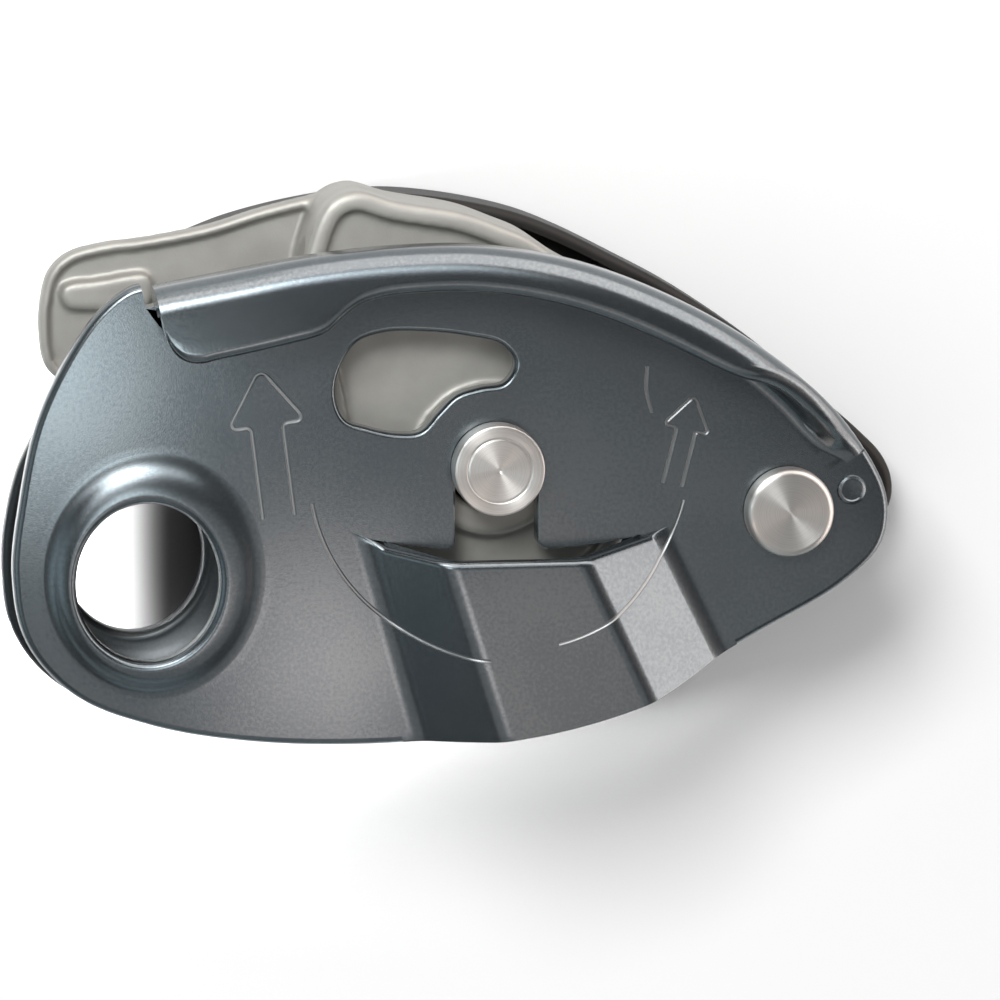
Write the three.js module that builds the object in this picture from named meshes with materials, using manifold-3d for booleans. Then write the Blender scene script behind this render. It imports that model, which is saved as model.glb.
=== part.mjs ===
// Assisted braking belay device for one climbing rope, lying on its folded handle.
// Millimetres. +X runs from the attachment hole to the plate pivot, +Y to the rolled lip, and +Z out of
// the surface it lies on. Everything is laid out from the axis of the cam axle, and at the end the
// whole group is moved so that its origin is the middle of its footprint.

import * as THREE from 'three';
import { mergeVertices } from 'three/addons/utils/BufferGeometryUtils.js';
import Module from 'manifold-3d';

const wasm = await Module();
wasm.setup();

// Clearances, edges and smoothness
const gap = 0.3;          // between pieces that seat on, or run in, each other
const overrun = 2;        // how far a cut runs past what it cuts
const lap = 0.6;          // how far two shapes of one piece run into each other
const edgeRound = 0.6;    // rolled edges of the two stamped plates
const roundMiddle = 1 - Math.SQRT1_2; // how far in a quarter round is at its middle, as a share
const turn = 2 * Math.PI;
const degree = Math.PI / 180;

// Rope and plates
const plateLength = 102.6;
const plateThick = 3;
const ropeGap = 14;       // between the two plates
const ropeRadius = 5.5;   // the thickest rope
const ropeBend = 22.5;    // centre line of the rope round the cam
const ropeLeanShare = 0.17;

// Layer under the plates that the handle swings in
const gripThick = 8.4;
const handleClearance = 0.4;
const backHeadHeight = 0.9;

// Attachment hole, window, slot and dimple of the plates
const attachRadius = 9;
const attachOvalShare = 0.92;  // the hole is a little less wide than high
const collarRadius = 13.2;     // foot of the raised collar round the hole
const collarRise = 1.9;
const collarBackShare = 0.84;  // the stamping is a little thinner at its crest
const collarLean = [0.5, 1.4]; // how far the foot lies off the hole's axis
const throatRound = 1.2;
const collarSides = 28;
const slotClearance = 0.6; // the axle's path past the slot is round the pivot
const slotFlare = 1.4;
const seatDepth = 0.25;        // shallow seat round the axle head
const seatClearance = 0.4;
const dimpleRadius = 1.55;
const dimpleHeight = 0.35;

// Channel bulge that the axle head passes under as the plate swings
const bulgeRise = 6.3;
const bulgeWall = 2.5;
const bulgeRound = 2.6;
const bulgeFoot = 2.2;
const slitRadius = 80;
const slitWidth = 0.5;

// Rolled lip along the top edge of the moving plate
const lipThick = 2.6;
const lipBend = 3;         // radius of the root bend, to the middle of the sheet
const lipCurl = 1.9;       // radius of the curl
const lipWall = 2.4;       // straight wall between the two
const lipTab = 5;          // reach of the wide tab at the left end
const lipBand = 5.2;       // width of the strip that the lip takes the place of
const lipRelief = 1.1;     // notch that frees the lip from the plate's corner
const lipReliefDepth = 2.7;

// Turned pieces
const axleRadius = 4.2;
const axleHeadRadius = 5.3;
const axleHeadHeight = 3;
const headRound = 0.6;
const headGrooveRadius = 3.7;
const headGroove = 0.22;
const headCentreRadius = 0.66; // dimple left by the lathe's centre
const headCentreDepth = 0.3;
const backHeadRadius = 5.4;
const pivotRadius = 3;
const pivotHeadRadius = 5.2;
const pivotHeadHeight = 2.3;
const pivotHeadRound = 0.85;
const spacerRadius = 4.2;
const washerThick = 0.6;

// Cam
const camReach = 47.8;     // cam axle to handle hinge
const camHinge = 159.7 * degree;
const camLock = 25;        // degrees from open to locked
const camFrontGap = 1.7;   // from the cam's rim to the moving plate
const camHubGap = 0.6;
const camWheel = 18.6;     // flanges of the rope groove
const camPocket = 1.1;
const camRim = 2.2;
const camRound = 0.8;
const webThick = 2.2;
const beadHeight = 0.9;
const beadWidth = 1.1;
const camPad = 1.1;        // raised pad in front of the handle's hinge
const camHubRadius = 8.8;
const camBore = 5.6;
const bushWall = 0.8;

// Cam return spring, its cavity and its anchor
const springRadius = 8;
const springWire = 0.9;
const springPitch = 1.4;
const springTurns = 3;
const springLeg = 3.4;
const springFoot = 1.4;
const legSwing = 30 * degree;
const hubTube = 6.7;
const springCavity = 10.3;
const anchorRadius = 0.6;
const anchorAngle = 50 * degree;

// Cam stop and friction plate
const stopRadius = 1.8;
const stopShank = 1.3;
const stopHeight = 2.6;
const frictionGap = 0.47;  // from the friction plate to the spacer behind it
const frictionThick = 2;
const frictionLow = -11;
const frictionHigh = 9.5;
const frictionFlare = 1.4;
const footReach = 11;
const footLow = -1;
const footHigh = 6.6;
const rivetShank = 1.5;
const rivetHead = 2.1;
const rivetHeadHeight = 1;

// Handle
const gripLength = 95.8;   // hinge to tip
const gripEnd = 5.4;
const gripRound = 1.1;
const gripWall = 1.5;
const gripFloor = 2.6;
const gripRib = 1.2;
const leverThick = 1.8;
const leverHalf = 3.2;
const leverEye = 3.6;
const leverDepth = 1;      // from the grip's rim down to the lever
const hingeRadius = 2;
const hingeHeadRadius = 3.2;
const hingeHeadHeight = 1;
const hingeHeadRecess = 0.9;
const bossRadius = 4.2;
const bossBlind = 1.2;
const coilRadius = 2.7;
const coilWire = 0.7;
const coilPitch = 1.15;
const coilTurns = 2;
const coilLeg = 9;
const coilLegSwing = 97 * degree;
const gripRivetShank = 1.2;
const gripRivetHead = 2.2;
const gripRivetHeadHeight = 0.6;
const gripBoss = 3;
const gripSink = 1.6;      // recess of the rivets in the grip's back

// Levels, from the surface that the device lies on
const fixedBack = gripThick + handleClearance + backHeadHeight + gap;
const fixedFace = fixedBack + plateThick;
const movingBack = fixedFace + ropeGap;
const movingFace = movingBack + plateThick;
const headBase = fixedBack - gap - backHeadHeight;
const ropeLevel = (fixedFace + movingBack) / 2;
const camBack = fixedFace + gap;
const camFront = movingBack - camFrontGap;
const camHubTop = movingBack - camHubGap;
const webTop = camBack + webThick;
const leverTop = gripThick - leverDepth;
const leverBase = leverTop - leverThick;
const bossBase = leverTop + 2 * gap + washerThick;

// Places in plan, from the cam axle
const at = (xShare, yShare, size) => new THREE.Vector2(xShare * size, yShare * size);
const pivot = at(0.334, -0.0575, plateLength);
const attachment = at(-0.392, -0.125, plateLength);
const dimple = at(0.4085, -0.036, plateLength);
const hinge = new THREE.Vector2(camReach, 0).rotateAround(new THREE.Vector2(), camHinge);
const frictionFace = pivot.x - spacerRadius - frictionGap - frictionThick; // wear face

// Finishes
const finish = (color, roughness, metalness) =>
  new THREE.MeshStandardMaterial({ color, roughness, metalness });
const anodised = finish(0x4f5e67, 0.38, 0.85);
const anodisedBack = finish(0x4a5861, 0.42, 0.85);
const castSteel = finish(0xa8a59e, 0.5, 0.8);
const turnedSteel = finish(0xb9b8b4, 0.3, 0.95);
const wearSteel = finish(0x9d9c98, 0.4, 0.9);
const springSteel = finish(0x8a8a88, 0.35, 0.95);
const bronze = finish(0xa07a4a, 0.45, 0.85);
const nylon = finish(0x1d1c1b, 0.55, 0);

// Solids

// A closed mesh with its faces turned outwards, ready to be joined and cut.
function solid(geometry) {
  const bare = new THREE.BufferGeometry();
  bare.setAttribute('position', geometry.getAttribute('position'));
  if (geometry.index) bare.setIndex(geometry.index);
  const merged = mergeVertices(bare, 1e-4);
  const places = merged.getAttribute('position');
  const corners = [0, 1, 2].map(() => new THREE.Vector3());
  const faces = [];
  let volume = 0;
  for (let i = 0; i < merged.index.count; i += 3) {
    const face = [0, 1, 2].map((k) => merged.index.getX(i + k));
    if (new Set(face).size < 3) continue;
    face.forEach((vertex, k) => corners[k].fromBufferAttribute(places, vertex));
    volume += corners[0].dot(corners[1].clone().cross(corners[2]));
    faces.push(face);
  }
  if (volume < 0) faces.forEach((face) => face.reverse());
  return new wasm.Manifold(new wasm.Mesh({
    numProp: 3,
    vertProperties: new Float32Array(places.array),
    triVerts: new Uint32Array(faces.flat()),
  }));
}

// A named sub-part of the device.
function piece(name, body, material) {
  const mesh = body.getMesh();
  const geometry = new THREE.BufferGeometry();
  geometry.setAttribute('position', new THREE.BufferAttribute(new Float32Array(mesh.vertProperties), 3));
  geometry.setIndex(new THREE.BufferAttribute(new Uint32Array(mesh.triVerts), 1));
  geometry.computeVertexNormals();
  const part = new THREE.Mesh(geometry, material);
  part.name = name;
  return part;
}

const join = (...bodies) => bodies.reduce((sum, body) => sum.add(body));

// A sheet or block: an outline with holes, between two levels, with its edges rolled over.
function slab(outline, low, high, round = 0, holes = []) {
  const shape = new THREE.Shape(THREE.ShapeUtils.isClockWise(outline) ? [...outline].reverse() : outline);
  shape.holes = holes.map((hole) => new THREE.Path(hole));
  const geometry = new THREE.ExtrudeGeometry(shape, {
    depth: high - low - 2 * round,
    bevelEnabled: round > 0,
    bevelThickness: round,
    bevelSize: round,
    bevelOffset: -round,
    bevelSegments: 1,
  });
  geometry.translate(0, 0, low + round);
  return solid(geometry);
}

// A turned piece: pairs of radius and level, spun about a vertical axis at a place in plan.
function turned(profile, place, sides = 24) {
  const geometry = new THREE.LatheGeometry(profile.map(([r, z]) => new THREE.Vector2(r, z)), sides);
  geometry.rotateX(Math.PI / 2);
  geometry.translate(place.x, place.y, 0);
  return solid(geometry);
}

const disc = (place, radius, low, high, sides = 24) =>
  turned([[0, low], [radius, low], [radius, high], [0, high]], place, sides);

const sleeve = (place, inner, outer, low, high, sides = 24) =>
  turned([[inner, low], [outer, low], [outer, high], [inner, high], [inner, low]], place, sides);

// A skin drawn over a row of flat sections with equal numbers of points, with both ends closed.
function loft(sections, place) {
  const count = sections[0].length;
  const rings = sections.map((section, station) => section.map((point) => place(station, point)));
  const index = [];
  for (let ring = 0; ring + 1 < rings.length; ring += 1) {
    for (let i = 0; i < count; i += 1) {
      const a = ring * count + i;
      const b = ring * count + ((i + 1) % count);
      index.push(a, b, b + count, a, b + count, a + count);
    }
  }
  const last = (rings.length - 1) * count;
  const cap = (section) => {
    const faces = THREE.ShapeUtils.triangulateShape(section, []);
    return THREE.ShapeUtils.isClockWise(section) ? faces.map((face) => [...face].reverse()) : faces;
  };
  const first = cap(sections[0]).map((face) => [...face].reverse());
  const end = cap(sections.at(-1));
  index.push(...first.flat(), ...end.flat().map((vertex) => vertex + last));
  const geometry = new THREE.BufferGeometry();
  const values = rings.flat().flatMap((point) => point.toArray());
  geometry.setAttribute('position', new THREE.Float32BufferAttribute(values, 3));
  geometry.setIndex(index);
  return solid(geometry);
}

// A bar or wire of round section along a curve.
function wire(points, radius, sides, steps) {
  const section = new THREE.Shape(arc(new THREE.Vector2(), radius, 0, turn * (1 - 1 / sides), sides - 1));
  const path = new THREE.CatmullRomCurve3(points, false, 'centripetal');
  return solid(new THREE.ExtrudeGeometry(section, { steps, extrudePath: path, bevelEnabled: false }));
}

// Outlines

// Points on a round stretch, from one angle to another.
function arc(centre, radius, from, to, steps) {
  return Array.from({ length: steps + 1 }, (_, i) => {
    const angle = from + ((to - from) * i) / steps;
    return new THREE.Vector2(centre.x + radius * Math.cos(angle), centre.y + radius * Math.sin(angle));
  });
}

const flat = (points) => points.map((point) => new THREE.Vector3(point.x, point.y, 0));
const scaled = (shares, size) => shares.map(([x, y]) => at(x, y, size));
const ring = (points) => new THREE.CatmullRomCurve3(flat(points), true, 'centripetal');

// A smooth closed outline through a few points.
function smooth(points, steps) {
  return ring(points).getPoints(steps).slice(0, -1).map((point) => new THREE.Vector2(point.x, point.y));
}

// The same outline moved inwards, or outwards by a negative width.
function inset(outline, width) {
  const inwards = THREE.ShapeUtils.isClockWise(outline) ? -1 : 1;
  return outline.map((point, i) => {
    const before = outline.at(i - 1);
    const after = outline[(i + 1) % outline.length];
    const along = after.clone().sub(before).normalize();
    return new THREE.Vector2(point.x - along.y * inwards * width, point.y + along.x * inwards * width);
  });
}

// A strip of sheet round a smooth middle line, with square ends.
function strip(points, half, steps) {
  const middle = new THREE.CatmullRomCurve3(flat(points), false, 'centripetal');
  const sides = [1, -1].map((side) => Array.from({ length: steps + 1 }, (_, i) => {
    const point = middle.getPoint(i / steps);
    const along = middle.getTangent(i / steps);
    return new THREE.Vector2(point.x - side * half * along.y, point.y + side * half * along.x);
  }));
  return [...sides[0], ...sides[1].reverse()];
}

// A line of straight runs whose corners [x, y, radius] are rounded, as for a bent sheet.
function rounded(corners, steps) {
  const points = corners.map(([x, y]) => new THREE.Vector2(x, y));
  return points.flatMap((corner, i) => {
    const radius = corners[i][2];
    if (!radius) return [corner];
    const back = points[i - 1].clone().sub(corner).normalize();
    const on = points[i + 1].clone().sub(corner).normalize();
    const half = back.angleTo(on) / 2;
    const run = radius / Math.tan(half);
    const centre = corner.clone().addScaledVector(back.clone().add(on).normalize(), radius / Math.sin(half));
    const start = corner.clone().addScaledVector(back, run).sub(centre);
    const sweep = (Math.PI - 2 * half) * Math.sign(on.cross(back));
    return Array.from({ length: steps + 1 }, (_, k) =>
      start.clone().rotateAround(new THREE.Vector2(), (sweep * k) / steps).add(centre));
  });
}

// The two stamped side plates

// Clockwise from the lip's left end. The first ten points are the edge that the lip rolls up from.
const lipPoints = 10;
const movingOutlineShares = [
  [-0.39, 0.216], [-0.307, 0.231], [-0.219, 0.2465], [-0.122, 0.256], [-0.02, 0.2555],
  [0.083, 0.237], [0.18, 0.201], [0.279, 0.147], [0.3665, 0.078], [0.425, 0.009],
  [0.451, -0.049], [0.4445, -0.0995], [0.4015, -0.143], [0.302, -0.199], [0.193, -0.257],
  [0.088, -0.2915], [-0.029, -0.31], [-0.156, -0.316], [-0.283, -0.309], [-0.39, -0.2885],
  [-0.4775, -0.2515], [-0.532, -0.189], [-0.547, -0.112], [-0.538, -0.029], [-0.5185, 0.0585],
  [-0.487, 0.127], [-0.45, 0.181], [-0.415, 0.2095],
];
const fixedOutlineShares = [
  [-0.505, 0.029], [-0.473, 0.0925], [-0.429, 0.1365], [-0.351, 0.18], [-0.2535, 0.2065],
  [-0.1365, 0.22], [-0.02, 0.2165], [0.088, 0.197], [0.19, 0.164], [0.2875, 0.118],
  [0.37, 0.061], [0.424, -0.008], [0.4385, -0.068], [0.417, -0.119], [0.3605, -0.162],
  [0.263, -0.218], [0.146, -0.275], [0.02, -0.312], [-0.117, -0.33], [-0.263, -0.329],
  [-0.385, -0.315], [-0.4564, -0.288], [-0.511, -0.245], [-0.5395, -0.195], [-0.547, -0.14],
  [-0.545, -0.09], [-0.529, -0.02],
];
const windowShares = [
  [-0.182, 0.084], [-0.177, 0.115], [-0.158, 0.144], [-0.127, 0.155], [-0.078, 0.155],
  [-0.031, 0.149], [0.006, 0.139], [0.0215, 0.117], [0.01, 0.0955], [-0.0175, 0.0905],
  [-0.045, 0.082], [-0.066, 0.0625], [-0.086, 0.042], [-0.112, 0.04], [-0.148, 0.048],
  [-0.1715, 0.0575],
];
// Left base, left edge, right edge and right base of the channel bulge, at its head and past its mouth.
const bulgeHeadShares = { y: -0.078, across: [-0.1477, -0.073, 0.083, 0.186] };
const bulgeMouthShares = { y: -0.36, across: [-0.072, 0.018, 0.214, 0.33] };
const slitShares = [0.0195, -0.0965];

// Raised collar of the attachment hole. The sign is 1 for a plate whose collar rises from its front.
function collar(face, back, out) {
  const slope = 3;
  const throat = attachRadius + throatRound;
  const rise = (k) => Math.sin((Math.PI / 2) * k);
  const steps = Array.from({ length: slope + 1 }, (_, i) => i / slope);
  const front = steps.map((k) => [
    THREE.MathUtils.lerp(collarRadius, throat, k), face + out * collarRise * rise(k)]);
  const rear = steps.map((k) => [
    THREE.MathUtils.lerp(throat, collarRadius, k), back + out * collarRise * collarBackShare * rise(1 - k)]);
  const edge = (level, way) => [
    attachRadius + throatRound * roundMiddle, level - out * way * throatRound * roundMiddle];
  const wall = (level, way) => [attachRadius, level - out * way * throatRound];
  const frontLevel = face + out * collarRise;
  const backLevel = back + out * collarRise * collarBackShare;
  return oval(turned([
    [collarRadius + lap, face], ...front, edge(frontLevel, 1), wall(frontLevel, 1),
    wall(backLevel, -1), edge(backLevel, -1), ...rear, [collarRadius + lap, back], [collarRadius + lap, face],
  ], new THREE.Vector2(), collarSides));
}

const collarPlace = (low, high) =>
  oval(disc(new THREE.Vector2(), collarRadius + lap / 2, low, high, collarSides));

// A round solid made oval and moved to the attachment hole, with its foot leaning towards the rope.
function oval(body) {
  return body.warp((point) => {
    const away = Math.hypot(point[0], point[1]);
    const k = THREE.MathUtils.smoothstep(away, attachRadius, collarRadius);
    point[0] = attachment.x + point[0] * attachOvalShare + collarLean[0] * k;
    point[1] = attachment.y + point[1] + collarLean[1] * k;
  });
}

// How the lip's section changes along it: place, wall height, bend, curl and reach.
// The wide tab has a rounded corner and an S-shaped end, and the right end lies down into the plate.
const lipShares = [
  [0, 1, 1, 1, 0.2], [0.008, 1, 1, 1, 0.52], [0.02, 1, 1, 1, 0.74], [0.04, 1, 1, 1, 0.9],
  [0.065, 1, 1, 1, 1], [0.2, 1, 1, 1, 0.93], [0.235, 1, 1, 1, 0.82], [0.262, 1, 1, 1, 0.5],
  [0.29, 1, 1, 1, 0.27], [0.34, 1, 1, 1, 0.16], [0.6, 1, 1, 1, 0.14], [0.76, 1, 1, 0.96, 0.14],
  [0.83, 0.97, 1, 0.76, 0.12], [0.885, 0.85, 0.94, 0.48, 0.1], [0.925, 0.7, 0.8, 0.26, 0.08],
  [0.955, 0.58, 0.58, 0.12, 0.06], [0.98, 0.5, 0.3, 0.04, 0.05], [1, 0.45, 0.02, 0, 0.05],
];
const lipBendAngle = 90 * degree;
const lipCurlAngle = 84 * degree;
const lipNose = 48 * degree;
const lipSteps = 3;        // of each of the two bends
const lipLeast = 1e-6;     // keeps the points apart where a bend is laid flat
const lipSpacing = 0.012;  // least share between two sections

function lipAt(share) {
  const next = Math.max(1, lipShares.findIndex((row) => row[0] >= share));
  const [from, to] = [lipShares[next - 1], lipShares[next]];
  const k = THREE.MathUtils.smoothstep(share, from[0], to[0]);
  return from.map((value, i) => (i ? THREE.MathUtils.lerp(value, to[i], k) : share));
}

// Flat section of the lip: x runs inwards from the plate's edge, y is the level.
function lipSection(share) {
  const [, wall, bend, curl, reach] = lipAt(share);
  const spine = [];
  let place = new THREE.Vector2(0, movingBack + plateThick / 2);
  let heading = 0;
  const step = (length, turning) => {
    heading += turning / 2;
    place = place.clone().add(new THREE.Vector2(Math.cos(heading), Math.sin(heading)).multiplyScalar(length));
    heading += turning / 2;
    spine.push([place, heading]);
  };
  spine.push([place, heading]);
  const round = (radius, angle) => {
    const turning = angle / lipSteps;
    for (let i = 0; i < lipSteps; i += 1) step(2 * radius * Math.sin(turning / 2) + lipLeast, turning);
  };
  round(lipBend, lipBendAngle * bend);
  step(lipWall * wall, 0);
  round(lipCurl, lipCurlAngle * curl);
  step(lipTab * reach, 0);
  const thickAt = (i) => THREE.MathUtils.lerp(plateThick, lipThick, Math.min(1, i / lipSteps)) / 2;
  const side = (way) => spine.map(([point, angle], i) => new THREE.Vector2(
    point.x - way * thickAt(i) * Math.sin(angle), point.y + way * thickAt(i) * Math.cos(angle)));
  const [tip, tipAngle] = spine.at(-1);
  const nose = arc(tip, lipThick / 2, tipAngle + lipNose, tipAngle - lipNose, 2);
  const inner = side(1);
  const outer = side(-1);
  const contour = [...inner, ...nose, ...outer.reverse()];
  const outermost = Math.max(...contour.map((point) => point.x));
  const placed = contour.map((point) => new THREE.Vector2(outermost - point.x, point.y));
  return [
    new THREE.Vector2(lipBand + lap, movingFace), ...placed, new THREE.Vector2(lipBand + lap, movingBack)];
}

function lipAndItsStrip() {
  const edge = ring(scaled(movingOutlineShares, plateLength));
  const span = (lipPoints - 1) / movingOutlineShares.length;
  const frame = (share, inwards, level) => {
    const point = edge.getPoint(share * span);
    const along = edge.getTangent(share * span);
    return new THREE.Vector3(point.x + along.y * inwards, point.y - along.x * inwards, level);
  };
  const tight = lipShares.map((row) => row[0]);
  const even = Array.from({ length: 13 }, (_, i) => i / 12);
  const stations = [...new Set([...tight, ...even])].sort((a, b) => a - b)
    .filter((share, i, all) => tight.includes(share) || share - all[i - 1] > lipSpacing);
  const lip = loft(stations.map(lipSection), (station, point) => frame(stations[station], point.x, point.y));
  const leftEnd = edge.getTangent(0).multiplyScalar(-lipRelief);
  const inner = stations.map((share) => frame(share, lipBand, 0));
  const outer = stations.map((share) => frame(share, -overrun, 0)).reverse();
  const notch = frame(0, lipReliefDepth, 0);
  const cut = [notch.clone().add(leftEnd), notch, ...inner, ...outer, outer.at(-1).clone().add(leftEnd)];
  const away = slab(cut.map((point) => new THREE.Vector2(point.x, point.y)),
    movingBack - overrun, movingFace + overrun);
  return { lip, away };
}

// Section of the channel bulge at a share of the way from its head to past its mouth.
function bulgeLines(k) {
  const across = bulgeHeadShares.across.map((share, i) =>
    plateLength * THREE.MathUtils.lerp(share, bulgeMouthShares.across[i], k));
  return { across, y: plateLength * THREE.MathUtils.lerp(bulgeHeadShares.y, bulgeMouthShares.y, k) };
}

function bulgeSection(k) {
  const [leftBase, left, right, rightBase] = bulgeLines(k).across;
  const top = movingFace + bulgeRise;
  const under = (run) => plateThick * Math.tan(Math.atan2(bulgeRise, run) / 2);
  const underLeft = under(left - leftBase);
  const underRight = under(rightBase - right);
  const outer = rounded([
    [leftBase - bulgeFoot - lap, movingFace, 0], [leftBase, movingFace, bulgeFoot], [left, top, bulgeRound],
    [right, top, bulgeRound], [rightBase, movingFace, bulgeFoot],
    [rightBase + bulgeFoot + lap, movingFace, 0],
  ], 4);
  const inner = rounded([
    [rightBase + bulgeFoot + lap, movingBack, 0],
    [rightBase - underRight, movingBack, bulgeFoot + bulgeWall],
    [right - underRight, top - bulgeWall, edgeRound], [left + underLeft, top - bulgeWall, edgeRound],
    [leftBase + underLeft, movingBack, bulgeFoot + bulgeWall], [leftBase - bulgeFoot - lap, movingBack, 0],
  ], 4);
  return [...outer, ...inner];
}

function movingSidePlate() {
  const outline = smooth(scaled(movingOutlineShares, plateLength), 70);
  const window = smooth(scaled(windowShares, plateLength), 32);
  const low = movingBack - overrun;
  const high = movingFace + bulgeRise + overrun;

  // Lanced slit: a shallow arc between the flat of the plate and the raised channel
  const slit = at(...slitShares, plateLength);
  const slitCentre = new THREE.Vector2(slit.x, slit.y + slitRadius);
  const [head, mouth] = [bulgeLines(0), bulgeLines(1)];
  const reach = Math.asin((head.across[3] - head.across[0]) / 2 / slitRadius);
  const middle = (head.across[3] + head.across[0]) / 2 - slit.x;
  const lean = Math.asin(middle / slitRadius) - Math.PI / 2;
  const slitLine = (radius) => arc(slitCentre, radius, lean - reach, lean + reach, 20);
  const channel = slab([...slitLine(slitRadius), new THREE.Vector2(mouth.across[3], mouth.y),
    new THREE.Vector2(mouth.across[0], mouth.y)], low, movingFace + overrun);
  const above = slab([...slitLine(slitRadius + slitWidth),
    new THREE.Vector2(head.across[3] + collarRadius, 0),
    new THREE.Vector2(head.across[0] - collarRadius, 0)],
  low, high);

  const stations = Array.from({ length: 6 }, (_, i) => i / 5);
  const bulge = loft(stations.map(bulgeSection), (station, point) =>
    new THREE.Vector3(point.x, bulgeLines(stations[station]).y, point.y))
    .intersect(slab(inset(outline, edgeRound / 2), low, high)).subtract(above);

  // Slot for the axle's neck, flared where it meets the slit
  const slotHalf = axleRadius + slotClearance;
  const slotEnd = slit.y + slotFlare;
  const slot = slab([
    ...arc(new THREE.Vector2(), slotHalf, 0, Math.PI, 14),
    ...arc(new THREE.Vector2(-slotHalf - slotFlare, slotEnd), slotFlare, 0, -Math.PI / 2, 4),
    new THREE.Vector2(-slotHalf - slotFlare, slit.y - overrun),
    new THREE.Vector2(slotHalf + slotFlare, slit.y - overrun),
    ...arc(new THREE.Vector2(slotHalf + slotFlare, slotEnd), slotFlare, 1.5 * Math.PI, Math.PI, 4),
  ], low, movingFace + overrun);
  const seatRadius = axleHeadRadius + seatClearance;
  const seat = disc(new THREE.Vector2(), seatRadius, movingFace - seatDepth, movingFace + overrun);

  const { lip, away } = lipAndItsStrip();
  const sheet = slab(outline, movingBack, movingFace, edgeRound, [window])
    .subtract(away)
    .subtract(collarPlace(low, movingFace + overrun))
    .subtract(channel)
    .subtract(slot)
    .subtract(seat)
    .subtract(disc(pivot, pivotRadius + gap, low, movingFace + overrun));
  const raised = disc(dimple, dimpleRadius, movingFace - lap, movingFace + dimpleHeight, 18);
  return join(sheet, lip, bulge, collar(movingFace, movingBack, 1), raised);
}

// The cam's tail rests on the stop pin with its straight lower edge.
const tailLowShare = 0.187;
const stopShare = -0.78;
const stopPlace = at(stopShare, tailLowShare, camReach).sub(new THREE.Vector2(0, gap + stopRadius));
const anchorPlace = new THREE.Vector2(springCavity - gap - anchorRadius, 0)
  .rotateAround(new THREE.Vector2(), anchorAngle);
const footRivetShares = [[0.25, 0.4], [0.72, 0.66]];
const footRivets = footRivetShares.map(([along, across]) => new THREE.Vector2(
  frictionFace + frictionThick + footReach * along, THREE.MathUtils.lerp(footHigh, footLow, across)));

function fixedSidePlate() {
  const outline = smooth(scaled(fixedOutlineShares, plateLength), 60);
  const [low, high] = [fixedBack - overrun, fixedFace + overrun];

  // Clearance for the hinge boss of the cam's tail, which sweeps past this plate's corner
  const clear = bossRadius + 2 * gap;
  const swing = camHinge - camLock * degree - Math.asin(clear / camReach);
  const sweep = slab([
    ...arc(new THREE.Vector2(), camReach - clear, swing, camHinge, 16),
    ...arc(hinge, clear, camHinge + Math.PI, camHinge, 12),
    ...arc(new THREE.Vector2(), camReach + collarRadius, camHinge, swing, 10),
  ], low, high);
  const holes = [
    collarPlace(low, high),
    disc(new THREE.Vector2(), axleRadius + gap, low, high),
    disc(pivot, pivotRadius + gap, low, high),
    disc(stopPlace, stopShank + gap, low, high, 16),
    disc(anchorPlace, anchorRadius + gap, low, high, 16),
    ...footRivets.map((place) => disc(place, rivetShank + gap, low, high, 16)),
    sweep,
  ];
  const blank = slab(outline, fixedBack, fixedFace, edgeRound);
  const sheet = holes.reduce((plate, hole) => plate.subtract(hole), blank);
  return join(sheet, collar(fixedBack, fixedFace, -1));
}

// Cam

const camBodyShares = [
  [-0.3975, 0.1255], [-0.431, 0.272], [-0.46, 0.418], [-0.4435, 0.5335], [-0.395, 0.637],
  [-0.327, 0.664], [-0.2308, 0.638], [-0.0623, 0.606], [0.0258, 0.573], [0.0944, 0.5435],
  [0.18, 0.485], [0.295, 0.42], [0.38, 0.345], [0.41, 0.251], [0.3975, 0.1255],
];
const camTailShares = [
  [-1.066, 0.222], [-1.0815, 0.303], [-1.0775, 0.385], [-1.0565, 0.456], [-1.012, 0.4985],
  [-0.9264, 0.5225], [-0.8287, 0.5335], [-0.6695, 0.5615], [-0.5396, 0.6], [-0.4315, 0.6255],
  [-0.335, 0.645], [-0.2, 0.6], [-0.15, 0.46], [-0.15, 0.16], [-0.335, 0.08], [-0.502, 0.151],
  [-0.69, tailLowShare], [-0.8995, tailLowShare], [-1.021, tailLowShare],
];
const camPadShares = [
  [-1.029, 0.395], [-1.024, 0.42], [-1.005, 0.429], [-0.934, 0.4365], [-0.85, 0.4495],
  [-0.818, 0.447], [-0.805, 0.425], [-0.81, 0.375], [-0.87, 0.352], [-0.947, 0.36], [-1.01, 0.367],
];

function ropePath(extra) {
  const lean = ropeLeanShare * (ropeBend + extra);
  const high = ropeBend + extra;
  const bend = arc(new THREE.Vector2(), ropeBend, Math.PI, turn, 12);
  const path = [new THREE.Vector2(-ropeBend - lean, high), ...bend, new THREE.Vector2(ropeBend + lean, high)];
  return path.map((point) => new THREE.Vector3(point.x, point.y, ropeLevel));
}

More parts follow.
